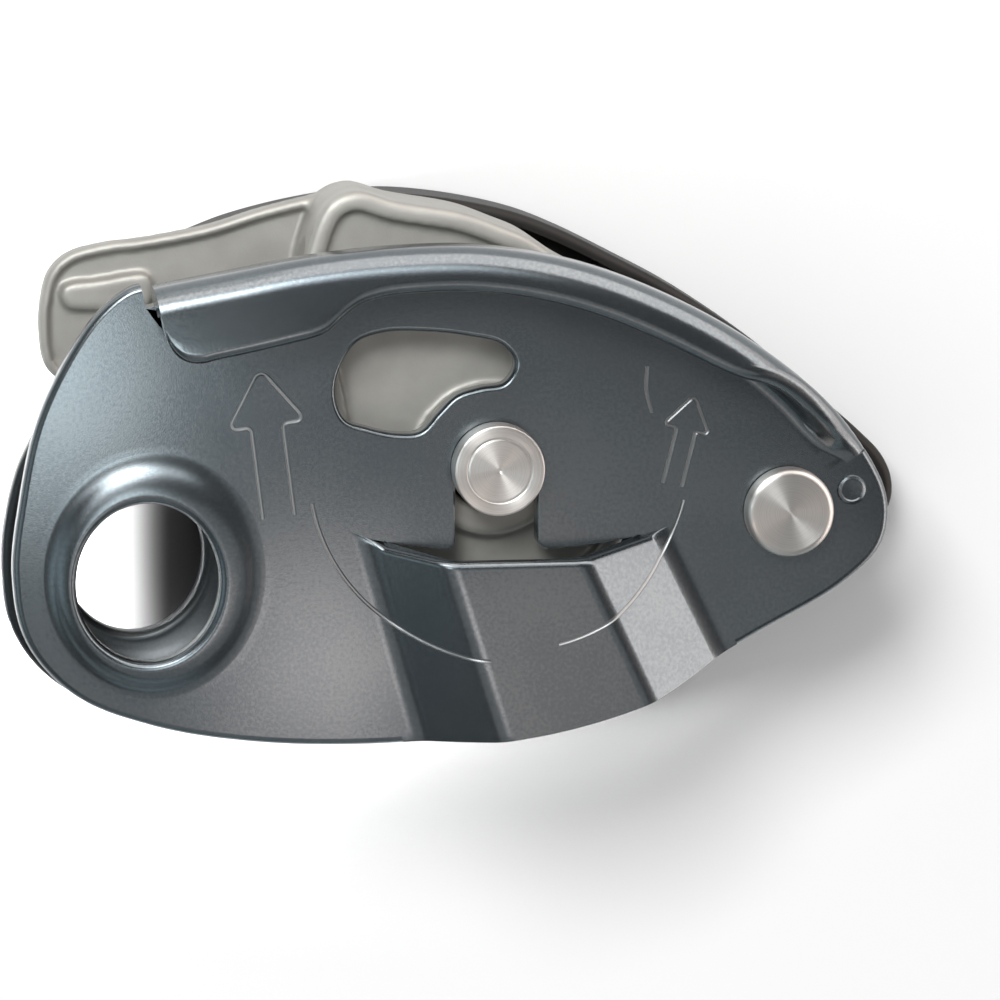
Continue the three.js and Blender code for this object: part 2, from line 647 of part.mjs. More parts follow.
function camPiece() {
  const axis = new THREE.Vector2();
  const body = smooth([...scaled(camBodyShares, camReach), ...arc(axis, camWheel, 0, -Math.PI, 8)], 52);
  const tail = smooth(scaled(camTailShares, camReach), 50);
  const web = slab(tail, camBack, webTop, edgeRound / 2);
  const bead = slab(tail, camBack + edgeRound, webTop + beadHeight, edgeRound)
    .subtract(slab(inset(tail, beadWidth), webTop - lap, webTop + overrun));
  const pad = slab(smooth(scaled(camPadShares, camReach), 26), webTop - lap, webTop + camPad, edgeRound);
  const block = slab(body, camBack, camFront, camRound)
    .subtract(slab(inset(body, camRim), camFront - camPocket, camFront + overrun))
    .subtract(wire(ropePath(camReach / 4), ropeRadius + gap, 12, 22));
  const hub = turned([
    [0, camBack], [camHubRadius, camBack], [camHubRadius, camHubTop - edgeRound],
    [camHubRadius - edgeRound, camHubTop], [0, camHubTop]], axis);
  const boss = disc(hinge, bossRadius, bossBase, webTop);

  // Cavity for the return spring in the back, round the tube that holds the bushing
  const cavityTop = camBack + springTurns * springPitch + 2 * springWire;
  const cavity = sleeve(axis, hubTube, springCavity, camBack - overrun, cavityTop, 30);
  const tubeEnd = disc(axis, hubTube + overrun, camBack - overrun, camBack + washerThick + gap);
  const springEnd = new THREE.Vector3(0, springRadius, 0);
  const notch = slab(strip([springEnd, leg(axis, springEnd, [springLeg + springWire, legSwing])],
    springWire, 2), cavityTop - 2 * springWire, cavityTop);
  return join(web, bead, pad, block, hub, boss)
    .subtract(cavity).subtract(tubeEnd).subtract(notch)
    .subtract(disc(axis, camBore, camBack - overrun, movingFace))
    .subtract(disc(hinge, hingeRadius + gap, bossBase - overrun, webTop - bossBlind, 20));
}

// Turned pieces

function camAxle() {
  const seat = movingFace - seatDepth + gap;
  const top = seat + axleHeadHeight;
  return turned([
    [0, headBase], [backHeadRadius - headRound, headBase], [backHeadRadius, headBase + headRound],
    [backHeadRadius, fixedBack - gap], [axleRadius, fixedBack - gap], [axleRadius, seat],
    [axleHeadRadius, seat], [axleHeadRadius, top - headRound],
    [axleHeadRadius - headRound * roundMiddle, top - headRound * roundMiddle],
    [axleHeadRadius - headRound, top], [headGrooveRadius + headGroove, top],
    [headGrooveRadius, top - headGroove], [headGrooveRadius - headGroove, top],
    [headCentreRadius, top], [0, top - headCentreDepth],
  ], new THREE.Vector2());
}

function pivotRivet() {
  const seat = movingFace + gap;
  const top = seat + pivotHeadHeight;
  return turned([
    [0, headBase], [backHeadRadius - headRound, headBase], [backHeadRadius, headBase + headRound],
    [backHeadRadius, fixedBack - gap], [pivotRadius, fixedBack - gap], [pivotRadius, seat],
    [pivotHeadRadius, seat], [pivotHeadRadius, top - pivotHeadRound],
    [pivotHeadRadius - pivotHeadRound * roundMiddle, top - pivotHeadRound * roundMiddle],
    [pivotHeadRadius - pivotHeadRound, top], [0, top - headGroove / 2],
  ], pivot);
}

// A rivet or pin through the fixed plate, with a flat back head and a round-edged front head.
function platePin(place, shank, head, frontLow, frontHigh) {
  return turned([
    [0, headBase], [head, headBase], [head, fixedBack - gap], [shank, fixedBack - gap], [shank, frontLow],
    [head, frontLow], [head, frontHigh - headRound / 2], [head - headRound / 2, frontHigh], [0, frontHigh],
  ], place, 18);
}

const bushOuter = camBore - gap;
const tubeBase = camBack + washerThick + gap;

// A coil and its legs as one wire, from a level upwards. Each leg has a length and the angle at which it
// leaves the coil, counted from straight outwards.
function leg(axis, point, [length, swing]) {
  const away = new THREE.Vector3(point.x - axis.x, point.y - axis.y, 0).normalize();
  return point.clone().addScaledVector(away.applyAxisAngle(new THREE.Vector3(0, 0, 1), swing), length);
}

function coil(axis, radius, wireSize, pitch, turns, low, start, legs) {
  const perTurn = 8;
  const count = turns * perTurn;
  const points = Array.from({ length: count + 1 }, (_, i) => {
    const angle = start + (turn * i) / perTurn;
    return new THREE.Vector3(axis.x + radius * Math.cos(angle), axis.y + radius * Math.sin(angle),
      low + wireSize / 2 + (pitch * i) / perTurn);
  });
  const path = [leg(axis, points[0], legs[0]), ...points, leg(axis, points.at(-1), legs[1])];
  console.log(`coil of wire ${wireSize} mm: least gap ${leastGap(points, perTurn, wireSize).toFixed(2)} mm`);
  return wire(path, wireSize / 2, 5, count + 4);
}

// Least clear distance of a coil to its own next turns.
function leastGap(points, perTurn, wireSize) {
  const distances = points.flatMap((point, i) => points.slice(i + perTurn - 2).map((other) =>
    point.distanceTo(other)));
  return Math.min(...distances) - wireSize;
}

// L-shaped wear plate: an upright wall along the rope and a foot riveted to the fixed plate. The wall's
// shares of its flare and of its length run from its lower end.
const frictionShares = [[0.5, 0], [0, 0.27], [0, 0.69], [0.33, 0.91], [1, 1]];

function frictionPlate() {
  const middle = frictionFace + frictionThick / 2;
  const wall = strip(frictionShares.map(([flare, along]) => new THREE.Vector2(
    middle + frictionFlare * flare, THREE.MathUtils.lerp(frictionLow, frictionHigh, along))),
  frictionThick / 2, 14);
  const base = fixedFace + gap;
  const inner = frictionFace + frictionThick / 2;
  const outer = frictionFace + frictionThick + footReach;
  const corner = frictionThick;
  const foot = [
    new THREE.Vector2(inner, footLow),
    ...arc(new THREE.Vector2(outer - corner, footLow + corner), corner, -Math.PI / 2, 0, 5),
    ...arc(new THREE.Vector2(outer - 2 * corner, footHigh - 2 * corner), 2 * corner, 0, Math.PI / 2, 6),
    new THREE.Vector2(inner, footHigh)];
  const body = join(slab(wall, base, movingBack - 2 * gap), slab(foot, base, base + frictionThick));
  return footRivets.reduce((plate, place) =>
    plate.subtract(disc(place, rivetShank + gap, base - overrun, base + frictionThick + overrun, 16)), body);
}

// Handle

const gripShares = [
  [0.092, 0.074], [0.1724, 0.1025], [0.258, 0.1225], [0.3486, 0.1332], [0.43, 0.127], [0.5206, 0.1076],
  [0.5782, 0.0853], [0.6549, 0.0464], [0.7281, 0.0061], [0.8296, -0.064], [0.9178, -0.1392],
  [0.9615, -0.1782], [0.9885, -0.2068], [1.002, -0.237], [1.001, -0.268], [0.979, -0.303],
  [0.933, -0.311], [0.864, -0.267], [0.76, -0.1785], [0.635, -0.09],
  [0.509, -0.0375], [0.384, -0.0145], [0.238, -0.021], [0.113, -0.042],
];
const leverShares = [[0, 0], [0.1, 0.018], [0.2, 0.046], [0.31, 0.06], [0.42, 0.055], [0.52, 0.036]];
const gripRivetShares = [0.36, 0.86];
const leverLine = scaled(leverShares, gripLength).map((point) => point.add(hinge));
const leverCurve = new THREE.CatmullRomCurve3(flat(leverLine), false, 'centripetal');
const gripRivetPlaces = gripRivetShares.map((share) => new THREE.Vector2().copy(leverCurve.getPoint(share)));
const gripRibShares = [[0.62, 0], [0.71, -0.07], [0.8, -0.13], [0.88, -0.19]];

function handleGrip() {
  const end = arc(new THREE.Vector2(), gripEnd, 1.5 * Math.PI, Math.PI / 2, 6);
  const outline = smooth([...end, ...scaled(gripShares, gripLength)], 64).map((point) => point.add(hinge));
  const hollow = slab(inset(outline, gripWall), gripFloor, gripThick + overrun);
  const shell = slab(outline, 0, gripThick, gripRound).subtract(hollow);
  const around = slab(inset(outline, gripWall / 2), 0, leverBase - gap);
  const ribs = gripRibShares.map(([x, y]) => {
    const place = at(x, y, gripLength).add(hinge);
    const half = new THREE.Vector2(gripEnd, 2 * gripEnd);
    const line = [place.clone().sub(half), place.clone().add(half)];
    return slab(strip(line, gripRib / 2, 2), gripFloor - lap, leverBase - gap).intersect(around);
  });
  const bosses = gripRivetPlaces.map((place) => disc(place, gripBoss, gripFloor - lap, leverBase - gap, 20));
  const drilled = gripRivetPlaces.flatMap((place) => [
    disc(place, gripRivetShank + gap, -overrun, gripThick, 16),
    disc(place, gripRivetHead + gap, -overrun, gripSink, 20)]);
  const opening = disc(hinge, hingeHeadRadius + gap, -overrun, gripFloor + overrun, 24);
  const body = join(shell, ...ribs, ...bosses);
  return [...drilled, opening].reduce((grip, cut) => grip.subtract(cut), body);
}

function handleLever() {
  const arm = slab(strip(leverLine, leverHalf, 10), leverBase, leverTop);
  const tip = disc(leverLine.at(-1), leverHalf, leverBase, leverTop);
  const eye = disc(hinge, leverEye, leverBase, leverTop);
  const cuts = [disc(hinge, hingeRadius + gap, leverBase - overrun, leverTop + overrun, 20),
    ...gripRivetPlaces.map((place) =>
      disc(place, gripRivetShank + gap, leverBase - overrun, leverTop + overrun, 16))];
  return cuts.reduce((lever, cut) => lever.subtract(cut), join(arm, tip, eye));
}

function gripRivet(place) {
  const top = leverTop + gap + gripRivetHeadHeight;
  const low = gripSink - gap - gripRivetHeadHeight;
  return turned([
    [0, low], [gripRivetHead, low], [gripRivetHead, gripSink - gap], [gripRivetShank, gripSink - gap],
    [gripRivetShank, leverTop + gap], [gripRivetHead, leverTop + gap], [gripRivetHead, top - headRound / 2],
    [gripRivetHead - headRound / 2, top], [0, top],
  ], place, 16);
}

function hingePin() {
  const low = hingeHeadRecess;
  const seat = low + hingeHeadHeight;
  return turned([
    [0, low], [hingeHeadRadius - headRound / 2, low], [hingeHeadRadius, low + headRound / 2],
    [hingeHeadRadius, seat], [hingeRadius, seat], [hingeRadius, webTop - bossBlind - gap],
    [0, webTop - bossBlind - gap],
  ], hinge, 20);
}

// The assembly

const device = new THREE.Group();
const axis = new THREE.Vector2();
const coilLow = hingeHeadRecess + hingeHeadHeight + gap;
const footTop = fixedFace + gap + frictionThick;
device.add(
  piece('fixed_side_plate', fixedSidePlate(), anodisedBack),
  piece('moving_side_plate', movingSidePlate(), anodised),
  piece('cam', camPiece(), castSteel),
  piece('cam_axle', camAxle(), turnedSteel),
  piece('cam_bushing', sleeve(axis, bushOuter - bushWall, bushOuter, tubeBase, camHubTop), bronze),
  piece('cam_thrust_washer',
    sleeve(axis, axleRadius + gap, hubTube - gap, camBack, camBack + washerThick), wearSteel),
  piece('cam_return_spring', coil(axis, springRadius, springWire, springPitch, springTurns,
    camBack + springWire / 2, Math.PI / 2, [[springFoot, -legSwing], [springLeg, legSwing]]), springSteel),
  piece('spring_anchor_pin',
    disc(anchorPlace, anchorRadius, fixedBack + gap, camBack + springWire * 2, 12), turnedSteel),
  piece('cam_stop_pin',
    platePin(stopPlace, stopShank, stopRadius, camBack, camBack + stopHeight), turnedSteel),
  piece('friction_plate', frictionPlate(), wearSteel),
  ...footRivets.map((place, i) => piece(['friction_plate_rivet_upper', 'friction_plate_rivet_lower'][i],
    platePin(place, rivetShank, rivetHead, footTop + gap, footTop + gap + rivetHeadHeight), turnedSteel)),
  piece('plate_pivot_rivet', pivotRivet(), turnedSteel),
  piece('pivot_spacer', sleeve(pivot, pivotRadius + gap, spacerRadius, fixedFace + gap,
    movingBack - washerThick - 2 * gap), wearSteel),
  piece('pivot_washer', sleeve(pivot, pivotRadius + gap, spacerRadius, movingBack - washerThick - gap,
    movingBack - gap), wearSteel),
  piece('handle_grip', handleGrip(), nylon),
  piece('handle_lever', handleLever(), wearSteel),
  ...gripRivetPlaces.map((place, i) =>
    piece(['handle_rivet_inner', 'handle_rivet_outer'][i], gripRivet(place), turnedSteel)),
  piece('handle_hinge_pin', hingePin(), turnedSteel),
  piece('hinge_washer', sleeve(hinge, hingeRadius + gap, leverEye, leverTop + gap,
    leverTop + gap + washerThick), wearSteel),
  piece('handle_spring', coil(hinge, coilRadius, coilWire, coilPitch, coilTurns, coilLow, -Math.PI / 2,
    [[coilWire, -legSwing], [coilLeg, coilLegSwing]]), springSteel),
);

// The origin is the middle of the footprint, on the surface that the device lies on.
const size = new THREE.Box3().setFromObject(device);
const middle = size.getCenter(new THREE.Vector3());
device.position.set(-middle.x, -middle.y, -size.min.z);

export default device;
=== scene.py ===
# %% [markdown]
# # An assisted braking belay device, dressed for its photograph
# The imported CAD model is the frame. Every piece that shows is modelled again here with finer edges,
# from the same sizes, and rides on the body that its CAD node belongs to. Sizes are in millimetres from
# the centre of the cam's axle while a piece is modelled, and in metres once it is settled in the frame.

# %% Load the frame
import math

import bpy
from mathutils import Matrix, Vector


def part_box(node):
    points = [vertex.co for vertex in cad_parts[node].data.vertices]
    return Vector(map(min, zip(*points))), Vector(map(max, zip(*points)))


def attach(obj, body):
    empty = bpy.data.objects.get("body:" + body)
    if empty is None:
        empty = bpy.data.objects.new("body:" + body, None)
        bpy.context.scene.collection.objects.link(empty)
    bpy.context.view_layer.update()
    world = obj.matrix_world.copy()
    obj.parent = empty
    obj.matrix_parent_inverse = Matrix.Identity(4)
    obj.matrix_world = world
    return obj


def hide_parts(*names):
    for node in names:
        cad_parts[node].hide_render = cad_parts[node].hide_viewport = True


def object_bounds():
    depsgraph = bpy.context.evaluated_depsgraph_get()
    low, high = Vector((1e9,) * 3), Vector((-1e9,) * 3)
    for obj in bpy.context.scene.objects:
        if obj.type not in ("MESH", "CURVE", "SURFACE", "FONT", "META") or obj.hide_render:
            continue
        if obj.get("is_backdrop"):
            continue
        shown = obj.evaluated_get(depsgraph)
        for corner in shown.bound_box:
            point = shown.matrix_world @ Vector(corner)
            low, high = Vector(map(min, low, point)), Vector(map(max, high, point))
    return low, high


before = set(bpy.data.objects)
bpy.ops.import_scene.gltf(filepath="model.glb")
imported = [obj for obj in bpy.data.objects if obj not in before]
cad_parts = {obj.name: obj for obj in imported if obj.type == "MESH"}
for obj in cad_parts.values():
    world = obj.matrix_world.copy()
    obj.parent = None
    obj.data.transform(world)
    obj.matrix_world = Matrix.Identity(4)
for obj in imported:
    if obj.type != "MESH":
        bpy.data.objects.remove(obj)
cad_low, cad_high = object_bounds()
bpy.ops.object.select_all(action="DESELECT")

MM = 0.001
axle_low, axle_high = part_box("cam_axle")
AXLE = Vector(((axle_low.x + axle_high.x) / 2, (axle_low.y + axle_high.y) / 2, 0))
print("nodes:", len(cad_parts), "axle at", [round(v, 5) for v in AXLE])

# %% [markdown]
# ## Sizes
# These are the sizes of the real device, as the CAD model has them. The plates are 3 mm sheet, the rope
# runs between them, and the handle lies folded under the back plate.

# %% Sizes
PLATE = 102.6              # length of a side plate
SHEET = 3.0                # thickness of both plates
LEVELS = {"fixed": (10.0, 13.0), "moving": (27.0, 30.0), "cam": (13.3, 25.3), "grip": (0.0, 8.4)}
EDGE = 0.85                # rolled edge of a stamped plate
HOLE_EDGE = 0.2            # rolled edge of a small hole
GAP = 0.3                  # clearance between pieces that turn or seat
PAST = 2.0                 # how far a cutter reaches past a face
PIVOT = (0.334 * PLATE, -0.0575 * PLATE)
ATTACH = (-0.392 * PLATE, -0.125 * PLATE)
DIMPLE = (0.4085 * PLATE, -0.036 * PLATE)
CAM_REACH = 47.8           # from the axle to the handle's hinge
HINGE_ANGLE = math.radians(159.7)
HINGE = (CAM_REACH * math.cos(HINGE_ANGLE), CAM_REACH * math.sin(HINGE_ANGLE))
GRIP = 95.8                # length of the handle from its hinge
print("plate pivot at", [round(v, 2) for v in PIVOT], "handle hinge at", [round(v, 2) for v in HINGE])

# %% [markdown]
# ## Outlines
# A stamped part starts as a drawn outline. A curve object would need its handles set one by one, so a
# soft curve is worked out from a few corner points alone. One helper moves an outline in or out, for
# edges and rims.


# %% Soft curves and offsets
def soft_curve(corners, steps, closed=True):
    """Points of a smooth curve through corners, evenly spread over its spans."""
    points = [Vector(c) for c in corners]
    spans = len(points) if closed else len(points) - 1
    if not closed:
        points = [points[0] * 2 - points[1], *points, points[-1] * 2 - points[-2]]

    def at(t):
        span = min(int(t), spans - 1)
        k = t - span
        if closed:
            p0, p1, p2, p3 = (points[(span + i) % spans] for i in (-1, 0, 1, 2))
        else:
            p0, p1, p2, p3 = points[span:span + 4]
        d0, d1, d2 = (max((b - a).length, 1e-6) ** 0.5 for a, b in ((p0, p1), (p1, p2), (p2, p3)))
        out = ((p1 - p0) / d0 - (p2 - p0) / (d0 + d1) + (p2 - p1) / d1) * d1
        back = ((p2 - p1) / d1 - (p3 - p1) / (d1 + d2) + (p3 - p2) / d2) * d1
        return (p1 + out * k + (p2 * 3 - p1 * 3 - out * 2 - back) * k ** 2
                + (p1 * 2 - p2 * 2 + out + back) * k ** 3)

    count = steps if closed else steps + 1
    return [at(i * spans / steps) for i in range(count)]


# %% Arcs, offsets and bands
def scaled(shares, size):
    return [(x * size, y * size) for x, y in shares]


def arc(centre, radius, start, end, steps):
    """Points on a round stretch; the angles are in degrees."""
    angles = [math.radians(start + (end - start) * i / steps) for i in range(steps + 1)]
    return [Vector((centre[0] + radius * math.cos(a), centre[1] + radius * math.sin(a))) for a in angles]


def area(loop):
    return sum(a[0] * b[1] - b[0] * a[1] for a, b in zip(loop, [*loop[1:], loop[0]])) / 2


def inwards(loop, width):
    """The loop moved in by a width, or out by a negative one."""
    turn = 1 if area(loop) > 0 else -1
    moved = []
    for i, point in enumerate(loop):
        along = (Vector(loop[(i + 1) % len(loop)]) - Vector(loop[i - 1])).normalized()
        moved.append(Vector((point[0] - along.y * turn * width, point[1] + along.x * turn * width)))
    return moved


def ribbon(line, half):
    """Outline of a band of even width along a line."""
    sides = [[], []]
    for i, point in enumerate(line):
        along = (line[min(i + 1, len(line) - 1)] - line[max(i - 1, 0)]).normalized()
        for side, way in zip(sides, (1, -1)):
            side.append(Vector((point.x - way * half * along.y, point.y + way * half * along.x)))
    return [*sides[0], *reversed(sides[1])]


# %% [markdown]
# ## A skin over rows
# Many pieces here are a row of sections with a skin over them: a plate with rolled edges, the lip, the
# channel. A grid primitive is such a skin before it is bent, so each of its rows of vertices is laid on
# one section. Its two side edges are merged, and its ends are filled. An extruded outline would do for a
# plain slab, but not where the section changes on the way.


# %% Skins
def active(piece):
    bpy.ops.object.select_all(action="DESELECT")
    piece.select_set(True)
    bpy.context.view_layer.objects.active = piece
    return piece


def edit(piece, *steps):
    """Run edit mode steps on all of a piece."""
    active(piece)
    bpy.ops.object.mode_set(mode="EDIT")
    bpy.ops.mesh.select_all(action="SELECT")
    for step in steps:
        step()
    bpy.ops.object.mode_set(mode="OBJECT")
    return piece


def skin(name, rows):
    """A closed piece over rows of points with equal counts."""
    count, last = len(rows[0]), len(rows) - 1
    bpy.ops.mesh.primitive_grid_add(x_subdivisions=count, y_subdivisions=last, size=1)
    piece = bpy.context.object
    piece.name = name
    for vertex in piece.data.vertices:
        column = round((vertex.co.x + 0.5) * count) % count
        row = round((vertex.co.y + 0.5) * last)
        vertex.co = rows[row][column]
    return edit(
        piece,
        lambda: bpy.ops.mesh.remove_doubles(threshold=1e-5),
        lambda: bpy.ops.mesh.fill_holes(sides=0),
        lambda: bpy.ops.mesh.normals_make_consistent(inside=False),
    )


# %% Slabs, holes and discs
def at_level(loop, level):
    return [(p[0], p[1], level) for p in loop]


def rolled_rows(loop, low, high, radius, steps):
    """Sections of a sheet whose edges roll in by a radius, or flare out by a negative one."""
    turns = [math.pi / 2 * i / steps for i in range(steps + 1)]
    rolled = [(radius * (1 - math.sin(a)), abs(radius) * (1 - math.cos(a))) for a in turns]
    lower = [at_level(inwards(loop, width), low + rise) for width, rise in rolled]
    upper = [at_level(inwards(loop, width), high - rise) for width, rise in reversed(rolled)]
    return lower + upper


def slab(name, loop, low, high, radius=0.0, steps=5):
    """A sheet or block with its edges rolled over."""
    if not radius:
        return skin(name, [at_level(loop, low), at_level(loop, high)])
    return skin(name, rolled_rows(loop, low, high, radius, steps))


def flared(name, loop, low, high, radius, steps=5, over=1.5):
    """A cutter for a hole whose two edges are rolled over."""
    wide = inwards(loop, -radius)
    rows = rolled_rows(loop, low, high, -radius, steps)
    return skin(name, [at_level(wide, low - over), *rows, at_level(wide, high + over)])


def ring_loop(place, radius, sides):
    return arc(place, radius, 0, 360 - 360 / sides, sides - 1)


def disc(name, place, radius, low, high, sides=64, rolled=0.0):
    return slab(name, ring_loop(place, radius, sides), low, high, rolled, 3)


# %% [markdown]
# ## Join, cut and turn
# Boolean modifiers join and cut closed pieces, as a press and a mill do. A turned piece is half of its
# section, drawn as a line and spun round its axis, which is how a lathe makes it. A section has many set
# points and no primitive is like it, so it is given as points and lines of a new mesh before it is spun.


# %% Modifiers and booleans
def modified(piece, kind, **settings):
    """Add a modifier with its settings, and apply it."""
    modifier = piece.modifiers.new(kind, kind)
    for name, value in settings.items():
        setattr(modifier, name, value)
    active(piece)
    bpy.ops.object.modifier_apply(modifier=modifier.name)
    return piece


def change(piece, tools, operation):
    for tool in tools:
        modified(piece, "BOOLEAN", operation=operation, solver="MANIFOLD",
                 material_mode="TRANSFER", object=tool)
        bpy.data.objects.remove(tool)
    return piece


def join(piece, *tools):
    return change(piece, tools, "UNION")


def cut(piece, *tools):
    return change(piece, tools, "DIFFERENCE")


def keep(piece, tool):
    return change(piece, [tool], "INTERSECT")


# %% Bevels, turned pieces and wires
def bevelled(piece, width, angle=35, segments=3):
    return modified(piece, "BEVEL", width=width, segments=segments, limit_method="ANGLE",
                    angle_limit=math.radians(angle), use_clamp_overlap=True)


def spun(name, profile, place, steps=96, edge=0.0):
    """A turned piece from pairs of radius and level; a profile that starts off the axis is a closed one."""
    closed = profile[0][0] > 0
    mesh = bpy.data.meshes.new(name)
    lines = [(i, i + 1) for i in range(len(profile) - 1)]
    if closed:
        lines.append((len(profile) - 1, 0))
    mesh.from_pydata([(r, 0, z) for r, z in profile], lines, [])
    piece = bpy.data.objects.new(name, mesh)
    bpy.context.scene.collection.objects.link(piece)
    edit(
        piece,
        lambda: bpy.ops.mesh.spin(steps=steps, angle=2 * math.pi, center=(0, 0, 0), axis=(0, 0, 1)),
        lambda: bpy.ops.mesh.select_all(action="SELECT"),
        lambda: bpy.ops.mesh.remove_doubles(threshold=1e-4),
        lambda: bpy.ops.mesh.normals_make_consistent(inside=False),
    )
    if edge:
        bevelled(piece, edge)
    piece.data.transform(Matrix.Translation((*place, 0)))
    return piece


def wire(name, line, radius, sides=12):
    """A bar of round section along a line in space."""
    turns = [2 * math.pi * k / sides for k in range(sides)]
    rows = []
    normal = Vector((0, 0, 1))
    for i, point in enumerate(line):
        along = (line[min(i + 1, len(line) - 1)] - line[max(i - 1, 0)]).normalized()
        side = along.cross(normal).normalized()
        normal = side.cross(along).normalized()
        rows.append([point + side * radius * math.cos(a) + normal * radius * math.sin(a) for a in turns])
    return skin(name, rows)


# %% [markdown]
# A finished piece is moved into the frame in its mesh, because its object stays at the origin. It is
# shaded smooth but for its corners, and a weighted normal modifier lets its large faces lead, so that a
# flat face stays flat right up to its rolled edge.


# %% Put a finished piece in the frame
def settle(piece, cad_node, body, material, angle=30, marks=None):
    """Put a finished piece in the frame in place of its CAD node."""
    edit(piece, lambda: bpy.ops.mesh.remove_doubles(threshold=1e-5))
    piece.data.transform(Matrix.Translation(AXLE) @ Matrix.Diagonal((MM, MM, MM, 1)))
    active(piece)
    bpy.ops.object.shade_smooth_by_angle(angle=math.radians(angle))
    modified(piece, "WEIGHTED_NORMAL", keep_sharp=True, weight=60)
    in_marks = [polygon.material_index > 0 for polygon in piece.data.polygons]
    piece.data.materials.clear()
    piece.data.materials.append(material)
    if marks:
        piece.data.materials.append(marks)
        for polygon, marked in zip(piece.data.polygons, in_marks):
            polygon.material_index = int(marked)
    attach(piece, body)
    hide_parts(cad_node)
    print(f"{piece.name}: {len(piece.data.polygons)} faces")


# %% [markdown]
# ## Finishes
# Every finish is made of nodes on Object coordinates, so that it stays on the piece when the piece
# moves. The scale of a pattern is given in metres, because the pieces are. A finish is a small tree of
# nodes, so one helper adds a node with its settings and inputs, and the others are made of it.


# %% Node helpers
def feed(tree, target, inputs):
    """Set inputs of a node to plain values, or link them to outputs of other nodes."""
    for name, value in inputs.items():
        if isinstance(value, bpy.types.NodeSocket):
            tree.links.new(value, target.inputs[name])
        else:
            target.inputs[name].default_value = value


def node(tree, kind, inputs, **settings):
    """Add a shader node, and give its first output that is on with these settings."""
    made = tree.nodes.new(f"ShaderNode{kind}")
    for name, value in settings.items():
        setattr(made, name, value)
    feed(tree, made, inputs)
    return next(output for output in made.outputs if output.enabled)


def coordinates(tree, space="Object"):
    return tree.nodes.new("ShaderNodeTexCoord").outputs[space]


def new_finish(name):
    material = bpy.data.materials.new(name)
    material.use_nodes = True
    print("finish:", name)
    return material, material.node_tree


def dress(tree, inputs):
    feed(tree, tree.nodes["Principled BSDF"], inputs)


# %% Patterns on a piece
def grain(tree, scale, detail=3.0, stretch=(1, 1, 1)):
    """Fine noise on Object coordinates."""
    mapped = node(tree, "Mapping", {"Vector": coordinates(tree), "Scale": stretch})
    return node(tree, "TexNoise", {"Vector": mapped, "Scale": scale, "Detail": detail})


def spread(tree, value, low, high):
    """Map a 0 to 1 value between two numbers."""
    return node(tree, "MapRange", {"Value": value, "To Min": low, "To Max": high})


def tinted(tree, value, dark, light):
    """Blend two tones by a noise, most of which lies between 0.3 and 0.7."""
    ramp = tree.nodes.new("ShaderNodeValToRGB")
    for element, colour, position in zip(ramp.color_ramp.elements, (dark, light), (0.3, 0.7)):
        element.color = (*colour, 1)
        element.position = position
    tree.links.new(value, ramp.inputs["Fac"])
    return ramp.outputs["Color"]


def bumped(tree, height, strength, distance):
    return node(tree, "Bump", {"Height": height, "Strength": strength, "Distance": distance})


# %% [markdown]
# The plates are aluminium, bead blasted and then anodised in a slate colour with a hint of teal. The
# blasting leaves a fine grain that blurs reflections a little, the anodic layer is a thin clear coat, and
# the dye takes a little unevenly, in fine speckles on broad clouds. One even colour and gloss would look
# like paint.


# %% Anodised aluminium
def anodised(name, dark, light, smooth=0.17, rough=0.27, layer=0.3):
    material, tree = new_finish(name)
    blasted = grain(tree, 5200, 4)
    speckle_share = 1.6
    clouds = node(tree, "Math", {0: grain(tree, 90, 2), 1: speckle_share / 2}, operation="SUBTRACT")
    speckles = {0: grain(tree, 2400, 3), 1: speckle_share, 2: clouds}
    dress(tree, {
        "Base Color": tinted(tree, node(tree, "Math", speckles, operation="MULTIPLY_ADD"), dark, light),
        "Metallic": 0.9,
        "Roughness": spread(tree, blasted, smooth, rough),
        "Normal": bumped(tree, blasted, 0.3, 0.00003),
        "Coat Weight": layer,
        "Coat Roughness": 0.12,
    })
    return material


front_finish = anodised("anodised slate front", (0.107, 0.125, 0.137), (0.13, 0.148, 0.157))
# The back plate takes the same finish, rougher and with a dimmer coat, and its colour set about three times
# darker: painted shade, so that the back plate seen inside the hole, under the front plate, reads dark.
back_finish_painted_dark = anodised("anodised slate of the back plate, painted darker as shade", (0.036, 0.04, 0.042), (0.041, 0.045, 0.047), 0.28, 0.36, 0.1)


# %% [markdown]
# The cam is a casting: blasted steel with a soft, slightly uneven skin. The turned pieces were faced on
# a lathe, whose fine rings round the axis make the fan-shaped glints on their heads. The rings are noise
# along the radius, and the tangent is the radius too, so that the anisotropic gloss runs across them.


# %% Cast steel
def cast_steel():
    material, tree = new_finish("cast steel")
    skin_grain = grain(tree, 3600, 5)
    dress(tree, {
        "Base Color": tinted(tree, grain(tree, 240, 3), (0.285, 0.28, 0.26), (0.335, 0.33, 0.305)),
        "Metallic": 0.4,
        "Roughness": spread(tree, skin_grain, 0.42, 0.58),
        "Normal": bumped(tree, skin_grain, 0.3, 0.00004),
    })
    return material


